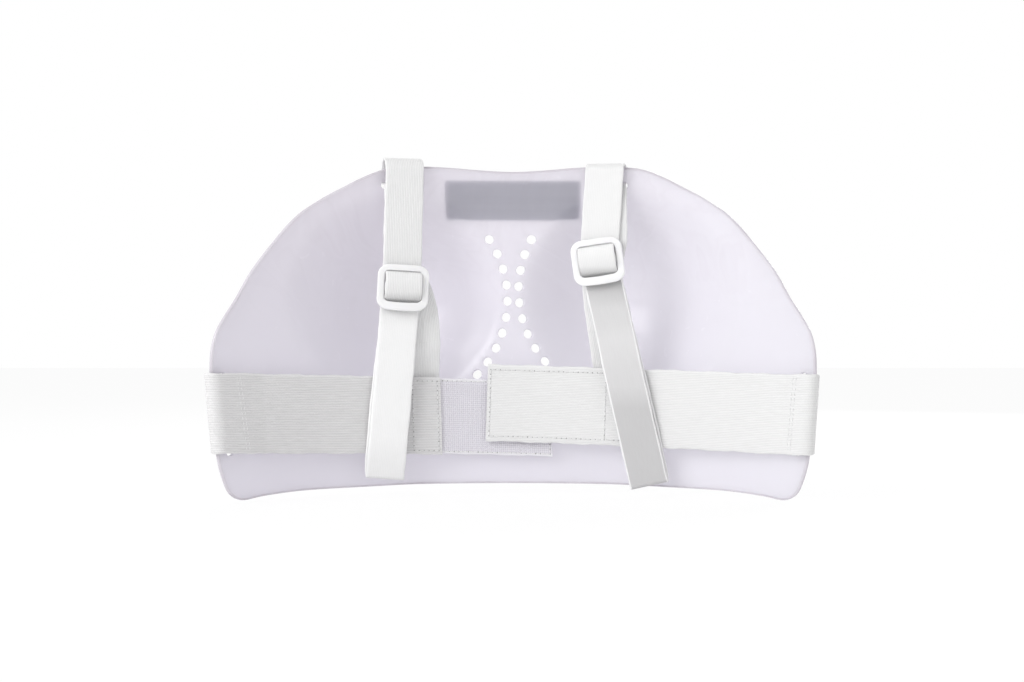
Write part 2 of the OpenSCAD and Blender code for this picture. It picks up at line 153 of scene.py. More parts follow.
class G:
    """Small helper that wires shader nodes."""

    def __init__(self, nt):
        self.nt = nt

    def n(self, kind, **kw):
        node = self.nt.nodes.new(kind)
        for k, v in kw.items():
            if k.startswith("i_"):
                key = k[2:]
                node.inputs[int(key) if key.isdigit() else key.replace("_", " ")].default_value = v
            else:
                setattr(node, k, v)
        return node

    def l(self, a, b):
        self.nt.links.new(a, b)

    def math(self, op, a, b=None, c=None, clamp=False):
        m = self.n("ShaderNodeMath", operation=op, use_clamp=clamp)
        for i, v in enumerate((a, b, c)):
            if v is None:
                continue
            if isinstance(v, (int, float)):
                m.inputs[i].default_value = v
            else:
                self.l(v, m.inputs[i])
        return m.outputs[0]

    def ramp(self, fac, stops):
        r = self.n("ShaderNodeValToRGB")
        e = r.color_ramp.elements
        while len(e) < len(stops):
            e.new(0.5)
        for k, (pos, col) in enumerate(stops):
            e[k].position = pos
            e[k].color = (*col, 1) if len(col) == 3 else col
        self.l(fac, r.inputs[0])
        return r.outputs[0]

    def mix(self, fac, a, b):
        m = self.n("ShaderNodeMix", data_type="RGBA")
        for sock, v in ((m.inputs[0], fac), (m.inputs[6], a), (m.inputs[7], b)):
            if isinstance(v, (int, float)):
                sock.default_value = v
            elif isinstance(v, tuple):
                sock.default_value = (*v, 1)
            else:
                self.l(v, sock)
        return m.outputs[2]

    def noise(self, scale, vec=None, detail=3.0, rough=0.55):
        t = self.n("ShaderNodeTexNoise", i_Scale=scale, i_Detail=detail, i_Roughness=rough)
        if vec is not None:
            self.l(vec, t.inputs["Vector"])
        return t.outputs[0]

    def uv(self):
        u = self.n("ShaderNodeUVMap", uv_map="UVMap")
        s = self.n("ShaderNodeSeparateXYZ")
        self.l(u.outputs[0], s.inputs[0])
        return u.outputs[0], s.outputs[0], s.outputs[1]

    def out(self, shader):
        o = self.n("ShaderNodeOutputMaterial")
        self.l(shader, o.inputs[0])


def elastic(name, width, pitch, crest, groove, depth=0.35, rough=0.72, sheen=0.25, pick=0.9, selvage=1.0, shade=None):
    """Ribbed elastic webbing. UV is (across, along) in millimetres, ribs run along.
    The last argument lists (height in mm, brightness) for painted shade and painted light: the cloth's colour is
    darkened or lightened by its height, for shadows and for parts turned from or towards the light."""
    m, nt = mat(name)
    g = G(nt)
    uv, u, v = g.uv()
    wob = g.noise(0.09, uv, 2.0)
    uu = g.math("ADD", u, g.math("MULTIPLY", g.math("SUBTRACT", wob, 0.5), 0.25))
    rib = g.math("ADD", 0.5, g.math("MULTIPLY", g.math("SINE", g.math("MULTIPLY", uu, 2 * math.pi / pitch)), 0.5))
    rib = g.math("POWER", rib, 0.7)
    # yarn crossing the ribs, offset from one rib to the next
    col = g.math("FLOOR", g.math("DIVIDE", uu, pitch))
    ph = g.math("MULTIPLY", g.math("MODULO", col, 2.0), math.pi)
    yarn = g.math("ADD", 0.5, g.math("MULTIPLY", g.math("SINE", g.math("ADD", g.math("MULTIPLY", v, 2 * math.pi / pick), ph)), 0.5))
    fuzz = g.noise(2.4, uv, 4.0, 0.7)
    streak = g.n("ShaderNodeMapping")
    streak.inputs["Scale"].default_value = (1.3, 0.10, 1.0)
    g.l(uv, streak.inputs["Vector"])
    lines = g.noise(1.0, streak.outputs[0], 3.0, 0.6)
    big = g.noise(0.05, uv, 3.0, 0.6)
    # woven selvage down each side
    edge = g.math("GREATER_THAN", g.math("ABSOLUTE", u), width / 2 - 1.1)
    h = g.math("ADD", g.math("MULTIPLY", rib, 0.55), g.math("ADD", g.math("MULTIPLY", yarn, 0.18), g.math("MULTIPLY", fuzz, 0.35)))
    hs = g.math("ADD", 0.55, g.math("MULTIPLY", yarn, 0.25))
    hm = g.n("ShaderNodeMix", data_type="FLOAT")
    g.l(edge, hm.inputs[0]); g.l(h, hm.inputs[2]); g.l(hs, hm.inputs[3])
    height = hm.outputs[0]
    c = g.mix(g.math("ADD", height, g.math("MULTIPLY", g.math("SUBTRACT", lines, 0.5), 0.7), clamp=True), groove, crest)
    c = g.mix(g.math("MULTIPLY", g.math("SUBTRACT", big, 0.35, clamp=True), 0.5, clamp=True), c, tuple(0.90 * k for k in crest))
    # painted shade and light: the colour is multiplied by a ramp over the object's height
    if shade:
        geo = g.n("ShaderNodeTexCoord")
        sep = g.n("ShaderNodeSeparateXYZ")
        g.l(geo.outputs["Object"], sep.inputs[0])
        zz = g.math("DIVIDE", g.math("ADD", sep.outputs[2], 0.10), 0.20, clamp=True)
        ramp = g.ramp(zz, [((z + 100) / 200, (k, k, k)) for z, k in shade])
        mm = g.n("ShaderNodeMix", data_type="RGBA", blend_type="MULTIPLY")
        mm.inputs[0].default_value = 1.0
        g.l(c, mm.inputs[6]); g.l(ramp, mm.inputs[7])
        c = mm.outputs[2]
    if selvage != 1.0:
        c = g.mix(g.math("MULTIPLY", edge, 0.8), c, tuple(min(0.97, selvage * k) for k in crest))
    # faint handling marks along the edges
    wear = g.math("MULTIPLY", g.math("SMOOTH_MIN", g.math("DIVIDE", g.math("ABSOLUTE", u), width / 2), 1.0, 0.1),
                  g.math("SUBTRACT", g.noise(0.16, uv, 4.0, 0.7), 0.45, clamp=True))
    c = g.mix(g.math("MULTIPLY", wear, 0.30, clamp=True), c, (0.62, 0.61, 0.60))
    p = g.n("ShaderNodeBsdfPrincipled")
    g.l(c, p.inputs["Base Color"])
    g.l(g.math("ADD", rough, g.math("MULTIPLY", fuzz, 0.12)), p.inputs["Roughness"])
    p.inputs["Sheen Weight"].default_value = sheen
    p.inputs["Sheen Roughness"].default_value = 0.45
    p.inputs["Specular IOR Level"].default_value = 0.3
    p.inputs["Subsurface Weight"].default_value = 0.12
    p.inputs["Subsurface Radius"].default_value = (0.001, 0.001, 0.001)
    b = g.n("ShaderNodeBump", i_Strength=depth, i_Distance=0.0005)
    g.l(height, b.inputs["Height"])
    g.l(b.outputs[0], p.inputs["Normal"])
    g.out(p.outputs[0])
    return m


M_STRAP = elastic("strap_webbing", 25, 1.1, (0.92, 0.92, 0.92), (0.72, 0.72, 0.72), 0.50)
# painted shade: the height ramp darkens this webbing just below the adjuster, a painted shadow, and a little towards
# its lower end
M_BRIGHT = elastic("strap_webbing_smooth", 25, 1.1, (0.95, 0.95, 0.95), (0.88, 0.88, 0.88), 0.20,
                   shade=[(-100, 0.90), (-86, 0.93), (-68, 1.0), (2, 1.0), (9, 0.95), (13, 0.82)])
# painted shade: both roll materials darken towards the bottom of the roll by height, where it turns down away from the
# light
M_ROLL_L = elastic("strap_webbing_roll_left", 25, 1.1, (0.94, 0.94, 0.94), (0.76, 0.76, 0.76), 0.45,
                   shade=[(-100, 0.7), (18, 0.62), (20.5, 0.78), (24, 0.95), (32, 1.0)])
M_ROLL_R = elastic("strap_webbing_roll_right", 25, 1.1, (0.88, 0.88, 0.88), (0.81, 0.81, 0.81), 0.15,
                   shade=[(-100, 0.7), (35, 0.62), (37.5, 0.78), (41, 0.95), (49, 1.0)])
M_RIGHT = elastic("strap_webbing_right", 25, 1.1, (0.87, 0.87, 0.87), (0.81, 0.81, 0.81), 0.15)
# painted light and shade: the height ramp leaves this tail dark just below the adjuster, lightest midway and darker
# lower down, as its curve meets the light
M_SATIN = elastic("strap_webbing_satin", 25, 0.55, (0.78, 0.775, 0.78), (0.68, 0.675, 0.68), 0.30, 0.5, 0.3, 0.6, 1.2,
                  [(-100, 0.80), (-50, 0.80), (-36, 0.93), (-5, 0.98), (14, 0.93), (24, 0.80), (30, 0.66)])
M_BAND = elastic("band_webbing_left", 50, 1.07, (0.86, 0.853, 0.857), (0.56, 0.555, 0.56), 0.6, pick=1.0)
# painted light: the right band is a lighter, lower-contrast copy of the left band's webbing, for the half turned to the
# key light
M_BAND_R_LIT = elastic("band_webbing_right_lit", 50, 1.07, (0.885, 0.885, 0.883), (0.70, 0.70, 0.70), 0.35, pick=1.0)


def hook_mat():
    m, nt = mat("hook_tape_weave")
    g = G(nt)
    uv, u, v = g.uv()
    a = g.math("SINE", g.math("MULTIPLY", g.math("ADD", u, v), 2.35))
    b = g.math("SINE", g.math("MULTIPLY", g.math("SUBTRACT", u, v), 2.35))
    lat = g.math("MULTIPLY", a, b)
    lat = g.math("ADD", 0.5, g.math("MULTIPLY", lat, 0.5))
    fz = g.noise(1.8, uv, 4.0, 0.7)
    edge = g.math("GREATER_THAN", g.math("ABSOLUTE", v), 22.6)
    h = g.math("ADD", g.math("MULTIPLY", lat, 0.7), g.math("MULTIPLY", fz, 0.3))
    c = g.mix(h, (0.60, 0.575, 0.64), (0.90, 0.885, 0.93))
    c = g.mix(g.math("MULTIPLY", edge, 0.8), c, (0.86, 0.85, 0.88))
    p = g.n("ShaderNodeBsdfPrincipled", i_Roughness=0.42)
    g.l(c, p.inputs["Base Color"])
    p.inputs["Specular IOR Level"].default_value = 0.5
    bp = g.n("ShaderNodeBump", i_Strength=0.6, i_Distance=0.0005)
    g.l(h, bp.inputs["Height"]); g.l(bp.outputs[0], p.inputs["Normal"])
    g.out(p.outputs[0])
    return m


def loop_mat():
    m, nt = mat("loop_tape_pile")
    g = G(nt)
    uv, u, v = g.uv()
    fz = g.noise(1.6, uv, 8.0, 0.75)
    cell = g.n("ShaderNodeTexVoronoi", i_Scale=0.9)
    g.l(uv, cell.inputs["Vector"])
    h = g.math("ADD", g.math("MULTIPLY", fz, 0.7), g.math("MULTIPLY", cell.outputs[0], 0.4))
    c = g.mix(h, (0.62, 0.62, 0.64), (0.92, 0.92, 0.93))
    p = g.n("ShaderNodeBsdfPrincipled", i_Roughness=0.9)
    g.l(c, p.inputs["Base Color"])
    p.inputs["Sheen Weight"].default_value = 0.6
    bp = g.n("ShaderNodeBump", i_Strength=0.9, i_Distance=0.001)
    g.l(h, bp.inputs["Height"]); g.l(bp.outputs[0], p.inputs["Normal"])
    g.out(p.outputs[0])
    return m


def thread_mat():
    m, nt = mat("stitch_thread")
    g = G(nt)
    co = g.n("ShaderNodeTexCoord")
    w = g.n("ShaderNodeTexWave", i_Scale=1400.0, i_Distortion=1.0)
    g.l(co.outputs["Object"], w.inputs["Vector"])
    c = g.mix(w.outputs[1], (0.74, 0.74, 0.75), (0.96, 0.96, 0.96))
    p = g.n("ShaderNodeBsdfPrincipled", i_Roughness=0.5)
    g.l(c, p.inputs["Base Color"])
    p.inputs["Sheen Weight"].default_value = 0.3
    bp = g.n("ShaderNodeBump", i_Strength=0.4, i_Distance=0.0002)
    g.l(w.outputs[1], bp.inputs["Height"]); g.l(bp.outputs[0], p.inputs["Normal"])
    g.out(p.outputs[0])
    return m


def adjuster_mat():
    m, nt = mat("adjuster_plastic")
    g = G(nt)
    co = g.n("ShaderNodeTexCoord")
    fine = g.noise(900.0, co.outputs["Object"], 4.0, 0.6)
    big = g.noise(70.0, co.outputs["Object"], 3.0, 0.5)
    geo = g.n("ShaderNodeNewGeometry")
    point = g.math("SUBTRACT", geo.outputs["Pointiness"], 0.5)
    wear = g.math("MULTIPLY", g.math("MULTIPLY", point, 6.0, clamp=True), g.math("SUBTRACT", big, 0.3, clamp=True), clamp=True)
    c = g.mix(big, (0.89, 0.89, 0.90), (0.94, 0.94, 0.945))
    c = g.mix(wear, c, (0.78, 0.77, 0.77))
    p = g.n("ShaderNodeBsdfPrincipled")
    g.l(c, p.inputs["Base Color"])
    g.l(g.math("ADD", 0.26, g.math("MULTIPLY", fine, 0.14)), p.inputs["Roughness"])
    p.inputs["Subsurface Weight"].default_value = 0.35
    p.inputs["Subsurface Radius"].default_value = (0.0012, 0.0012, 0.0013)
    p.inputs["Coat Weight"].default_value = 0.15
    bp = g.n("ShaderNodeBump", i_Strength=0.12, i_Distance=0.0002)
    g.l(fine, bp.inputs["Height"]); g.l(bp.outputs[0], p.inputs["Normal"])
    g.out(p.outputs[0])
    return m


def badge_mat():
    m, nt = mat("badge_print")
    g = G(nt)
    uv, u, v = g.uv()
    weave = g.math("MULTIPLY", g.math("SINE", g.math("MULTIPLY", u, 9.0)), g.math("SINE", g.math("MULTIPLY", v, 9.0)))
    bu = g.math("GREATER_THAN", g.math("ABSOLUTE", u), 42.6)
    bv = g.math("GREATER_THAN", g.math("ABSOLUTE", v), 11.4)
    border = g.math("MAXIMUM", bu, bv)
    big = g.noise(0.05, uv, 3.0)
    c = g.mix(big, (0.045, 0.055, 0.115), (0.085, 0.10, 0.18))
    c = g.mix(g.math("MULTIPLY", border, 0.8), c, (0.22, 0.24, 0.34))
    p = g.n("ShaderNodeBsdfPrincipled")
    g.l(c, p.inputs["Base Color"])
    g.l(g.math("ADD", 0.34, g.math("MULTIPLY", g.noise(0.3, uv), 0.16)), p.inputs["Roughness"])
    bp = g.n("ShaderNodeBump", i_Strength=0.12, i_Distance=0.0003)
    g.l(g.math("ADD", weave, g.math("MULTIPLY", border, 2.0)), bp.inputs["Height"]); g.l(bp.outputs[0], p.inputs["Normal"])
    g.out(p.outputs[0])
    return m


def shell_mat():
    m, nt = mat("shell_plastic")
    g = G(nt)
    co = g.n("ShaderNodeTexCoord")
    ob = co.outputs["Object"]
    sep = g.n("ShaderNodeSeparateXYZ")
    g.l(ob, sep.inputs[0])
    x, z = g.math("MULTIPLY", sep.outputs[0], 1000.0), g.math("MULTIPLY", sep.outputs[2], 1000.0)
    big = g.noise(9.0, ob, 3.0, 0.5)
    flow = g.noise(22.0, ob, 4.0, 0.55)
    fine = g.noise(420.0, ob, 3.0, 0.5)
    lw = g.n("ShaderNodeLayerWeight", i_Blend=0.35)
    c = g.mix(big, SHELL_A, SHELL_B)
    # towards the top the wall is pinker and darker, painted shade where it turns away from the light, and cloudier;
    # lower down it is clearer and bluer
    high = g.math("DIVIDE", g.math("ADD", z, 40.0), 130.0, clamp=True)
    c = g.mix(g.math("MULTIPLY", high, 0.55), c, SHELL_TOP_TINT_AND_SHADE)
    # towards the right the wall is lighter, painted light on the side turned to the light, and its tint more neutral
    c = g.mix(g.math("MULTIPLY", g.math("DIVIDE", g.math("ADD", x, 120.0), 300.0, clamp=True), 0.75), c, (0.855, 0.853, 0.885))
    c = g.mix(g.math("MULTIPLY", g.math("SUBTRACT", flow, 0.45, clamp=True), 0.6, clamp=True), c, (0.88, 0.86, 0.90))
    # cloudy streaks left by the moulding, drawn out around the domes
    cl = g.n("ShaderNodeTexNoise", i_Scale=11.0, i_Detail=3.0, i_Roughness=0.5, i_Distortion=2.2)
    g.l(ob, cl.inputs["Vector"])
    ring = g.ramp(cl.outputs[0], [(0.40, (0, 0, 0)), (0.47, (1, 1, 1)), (0.50, (0, 0, 0)), (0.56, (0.7, 0.7, 0.7)), (0.60, (0, 0, 0))])
    c = g.mix(g.math("MULTIPLY", g.math("MULTIPLY", ring, 0.28), g.math("DIVIDE", g.math("ADD", z, 10.0), 70.0, clamp=True)), c, (0.70, 0.65, 0.71))
    # painted light: lighter where the wall faces the viewer, darker towards grazing angles
    c = g.mix(g.math("MULTIPLY", g.math("POWER", lw.outputs["Facing"], 2.0), 0.7), c, (0.92, 0.91, 0.94))

    # light that the badge keeps out of the wall, soft at its edges
    def soft(a, w):
        t = g.math("DIVIDE", a, w, clamp=True)
        return g.math("SMOOTH_MIN", t, 1.0, 0.05)

    ax = g.math("ABSOLUTE", x)
    mask = g.math("MULTIPLY", soft(g.math("SUBTRACT", 45.0, ax), 4.0),
                  g.math("MULTIPLY", soft(g.math("SUBTRACT", z, 70.6), 2.0), soft(g.math("SUBTRACT", 98.0, z), 3.0)))
    mp = g.n("ShaderNodeMapping")
    mp.inputs["Scale"].default_value = (9.0, 30.0, 330.0)
    g.l(ob, mp.inputs["Vector"])
    bands = g.noise(1.0, mp.outputs[0], 4.0, 0.6)
    dark = g.mix(bands, (0.50, 0.51, 0.58), (0.70, 0.71, 0.77))
    c = g.mix(g.math("MULTIPLY", mask, LABEL_SHADE), c, dark)
    p = g.n("ShaderNodeBsdfPrincipled")
    g.l(c, p.inputs["Base Color"])
    # fine scuffs and handling marks
    scr = g.n("ShaderNodeTexNoise", i_Scale=60.0, i_Detail=6.0, i_Distortion=2.5)
    g.l(ob, scr.inputs["Vector"])
    g.l(g.math("ADD", 0.16, g.math("ADD", g.math("MULTIPLY", flow, 0.08), g.math("MULTIPLY", g.math("SUBTRACT", scr.outputs[0], 0.55, clamp=True), 0.5))), p.inputs["Roughness"])
    p.inputs["Specular IOR Level"].default_value = 0.5
    p.inputs["Coat Weight"].default_value = 0.25
    p.inputs["Coat Roughness"].default_value = 0.12
    wave = g.n("ShaderNodeTexNoise", i_Scale=14.0, i_Detail=1.5, i_Roughness=0.4, i_Distortion=1.2)
    g.l(ob, wave.inputs["Vector"])
    bp = g.n("ShaderNodeBump", i_Strength=0.35, i_Distance=0.002)
    g.l(g.math("ADD", g.math("MULTIPLY", wave.outputs[0], 1.0), g.math("MULTIPLY", fine, 0.006)), bp.inputs["Height"])
    g.l(bp.outputs[0], p.inputs["Normal"])
    g.l(bp.outputs[0], p.inputs["Coat Normal"])
    tl = g.n("ShaderNodeBsdfTranslucent")
    tl.inputs[0].default_value = (0.90, 0.885, 0.93, 1)
    tr = g.n("ShaderNodeBsdfTransparent")
    tr.inputs[0].default_value = (0.97, 0.962, 0.98, 1)
    m1 = g.n("ShaderNodeMixShader")
    m1.inputs[0].default_value = 0.45
    g.l(p.outputs[0], m1.inputs[1]); g.l(tl.outputs[0], m1.inputs[2])
    m2 = g.n("ShaderNodeMixShader")
    # clearer face on, more opaque at grazing angles and at the rim
    g.l(g.math("SUBTRACT", SHELL_CLEAR, g.math("MULTIPLY", g.math("POWER", lw.outputs["Facing"], 1.5), SHELL_CLEAR * 0.85), clamp=True), m2.inputs[0])
    g.l(m1.outputs[0], m2.inputs[1]); g.l(tr.outputs[0], m2.inputs[2])
    g.out(m2.outputs[0])
    return m


def rim_mat():
    m, nt = mat("shell_rim")
    g = G(nt)
    co = g.n("ShaderNodeTexCoord")
    c = g.mix(g.noise(40.0, co.outputs["Object"]), (0.56, 0.51, 0.57), (0.78, 0.76, 0.81))
    p = g.n("ShaderNodeBsdfPrincipled", i_Roughness=0.3)
    g.l(c, p.inputs["Base Color"])
    p.inputs["Coat Weight"].default_value = 0.2
    tr = g.n("ShaderNodeBsdfTransparent")
    mx = g.n("ShaderNodeMixShader")
    mx.inputs[0].default_value = 0.15
    g.l(p.outputs[0], mx.inputs[1]); g.l(tr.outputs[0], mx.inputs[2])
    g.out(mx.outputs[0])
    return m


M_RIM = rim_mat()
SHELL_A, SHELL_B, SHELL_TOP_TINT_AND_SHADE = (0.80, 0.775, 0.85), (0.86, 0.84, 0.90), (0.84, 0.785, 0.85)
SHELL_CLEAR, LABEL_SHADE = 0.27, 0.60
M_HOOK, M_LOOP, M_THREAD = hook_mat(), loop_mat(), thread_mat()
M_ADJ, M_BADGE, M_SHELL = adjuster_mat(), badge_mat(), shell_mat()


# ------------------------------------------------------------------ mesh building
def make(name, verts, faces, material, uvs=None, normals=None, sharp=65.0):
    """Object from millimetre vertices. uvs is one (u, v) for each vertex."""
    me = bpy.data.meshes.new(name)
    v = np.asarray(verts, float) * MM
    me.from_pydata(v.tolist(), [], [tuple(int(i) for i in f) for f in faces])
    me.update()
    if uvs is not None:
        lay = me.uv_layers.new(name="UVMap")
        idx = np.zeros(len(me.loops), np.int32)
        me.loops.foreach_get("vertex_index", idx)
        lay.data.foreach_set("uv", np.asarray(uvs, np.float32)[idx].ravel())
    bm = bmesh.new()
    bm.from_mesh(me)
    bmesh.ops.recalc_face_normals(bm, faces=bm.faces[:])
    lim = math.radians(sharp)
    for e in bm.edges:
        e.smooth = not (len(e.link_faces) == 2 and e.calc_face_angle(0.0) > lim)
    for f in bm.faces:
        f.smooth = True
    bm.to_mesh(me)
    bm.free()
    if normals is not None:
        me.normals_split_custom_set_from_vertices(np.asarray(normals, float).tolist())
    me.materials.append(material)
    ob = bpy.data.objects.new(name, me)
    bpy.context.scene.collection.objects.link(ob)
    return ob


def unit(a):
    a = np.asarray(a, float)
    return a / np.maximum(np.linalg.norm(a, axis=-1, keepdims=True), 1e-9)


def ribbon(name, path, across, width, thick, material, nu=14, ripple=0.0, u0=0.0, v0=0.0, sag=0.0, seed=1, cap=True):
    """Webbing along a path: rounded edges, width axis given at each point. UV is (across, along) in mm."""
    path, across = np.asarray(path, float), unit(across)
    n = len(path)
    tan = unit(np.gradient(path, axis=0))
    nor = unit(np.cross(across, tan))
    v = v0 + np.r_[0, np.cumsum(np.linalg.norm(np.diff(path, axis=0), axis=1))]
    w = np.broadcast_to(np.asarray(width, float), (n,))
    ph = np.random.default_rng(seed).uniform(0, 6.28, 6)
    wob = ripple * (np.sin(v * 0.21 + ph[0]) + 0.6 * np.sin(v * 0.53 + ph[1]))
    r = thick / 2
    sec = []
    for k in range(nu + 1):
        sec.append((-0.5 + k / nu, 1.0, 0.0))
    for a in (50, 90, 130):
        sec.append((0.5, math.cos(math.radians(a)), math.sin(math.radians(a))))
    for k in range(nu, -1, -1):
        sec.append((-0.5 + k / nu, -1.0, 0.0))
    for a in (130, 90, 50):
        sec.append((-0.5, math.cos(math.radians(a)), -math.sin(math.radians(a))))
    m = len(sec)
    V = np.zeros((n, m, 3))
    UV = np.zeros((n, m, 2))
    for j, (s, h, e) in enumerate(sec):
        inner = w - 2 * r
        a = s * inner + e * r + wob * (2 * s)
        bulge = sag * (1 - (2 * s) ** 2)
        V[:, j] = path + across * a[:, None] + nor * (h * r + bulge)[..., None] if np.ndim(bulge) else path + across * a[:, None] + nor * (h * r + bulge)
        UV[:, j, 0] = a + u0
        UV[:, j, 1] = v
    F = []
    for i in range(n - 1):
        for j in range(m):
            k = (j + 1) % m
            F.append((i * m + j, i * m + k, (i + 1) * m + k, (i + 1) * m + j))
    if cap:
        for i in (0, n - 1):
            o = i * m
            top = list(range(nu + 1))
            bot = [nu + 4 + (nu - k) for k in range(nu + 1)]
            for k in range(nu):
                F.append((o + top[k], o + top[k + 1], o + bot[k + 1], o + bot[k]))
            F.append((o + nu, o + nu + 1, o + nu + 2, o + nu + 3, o + nu + 4))
            F.append((o + m - 1, o, o + bot[0], o + m - 3, o + m - 2))
    return make(name, V.reshape(-1, 3), F, material, UV.reshape(-1, 2))


def stitches(name, points, normals, length=2.3, radius=0.24, pitch=3.1, lift=0.12, sink=None):
    """Row of raised stitches along a line lying on cloth."""
    p = resample(points, pitch)
    nrm = np.asarray(normals, float)
    if nrm.ndim == 1:
        nrm = np.repeat(nrm[None], len(p), 0)
    else:
        t = np.linspace(0, len(nrm) - 1, len(p))
        nrm = unit(np.stack([np.interp(t, range(len(nrm)), nrm[:, k]) for k in range(3)], 1))
    V, F = [], []
    seg, ring = 6, 6
    for i in range(len(p) - 1):
        c = (p[i] + p[i + 1]) / 2
        d = unit(p[i + 1] - p[i])
        up = nrm[i]
        side = unit(np.cross(d, up))
        d = unit(d + side * (rng.uniform(-0.10, 0.10)))
        side = unit(np.cross(d, up))
        o = len(V)
        for s in range(seg + 1):
            t = -1 + 2 * s / seg
            rr = radius * math.sqrt(max(0.05, 1 - t ** 4))
            h = lift + radius * 0.9 * (1 - t * t) - 0.05
            for k in range(ring):
                a = 2 * math.pi * k / ring
                V.append(c + d * (t * length / 2) + side * math.cos(a) * rr + up * (h + math.sin(a) * rr))
        for s in range(seg):
            for k in range(ring):
                k2 = (k + 1) % ring
                F.append((o + s * ring + k, o + s * ring + k2, o + (s + 1) * ring + k2, o + (s + 1) * ring + k))
        F.append(tuple(o + k for k in range(ring))[::-1])
        F.append(tuple(o + seg * ring + k for k in range(ring)))
    return V, F


def merge(parts):
    V, F = [], []
    for v, f in parts:
        o = len(V)
        V += list(v)
        F += [tuple(i + o for i in q) for q in f]
    return V, F


# ------------------------------------------------------------------ shell
SLOT_Z, SLOT_H, SLOT_L = 93.25, 4.5, 27.0
SLOT_X = {-1: -71.5, 1: 60.5}
SIDE_Z, SIDE_X, SIDE_TILT, SIDE_LEAN = -52.5, 184.8, math.radians(4.2), math.radians(1.9)
TURN_TILT = {-1: math.radians(5.2), 1: SIDE_TILT}   # the left band pulls its turn a little further over
SIDE_H = math.atan(slope_x(SIDE_X - 4, SIDE_Z))
_n = out_dir(SIDE_X - 3, SIDE_Z)
SIDE_C = np.array([SIDE_X - 4 * math.cos(SIDE_H) + T / 2 * _n[0], float(face(SIDE_X, SIDE_Z)) - 4 * math.sin(SIDE_H) + T / 2 * _n[1], SIDE_Z])


def stadium(cx, cz, length, wid, tilt, n=9):
    """Slot outline in the X-Z plane; tilt turns its long axis from X."""
    r = wid / 2
    pts = []
    for s, a0 in ((1, -90), (-1, 90)):
        for k in range(n + 1):
            a = math.radians(a0 + 180 * k / n)
            pts.append((s * (length / 2 - r) + r * math.cos(a), r * math.sin(a)))
    pts = np.array(pts)
    c, s = math.cos(tilt), math.sin(tilt)
    return np.stack([cx + c * pts[:, 0] - s * pts[:, 1], cz + s * pts[:, 0] + c * pts[:, 1]], 1)


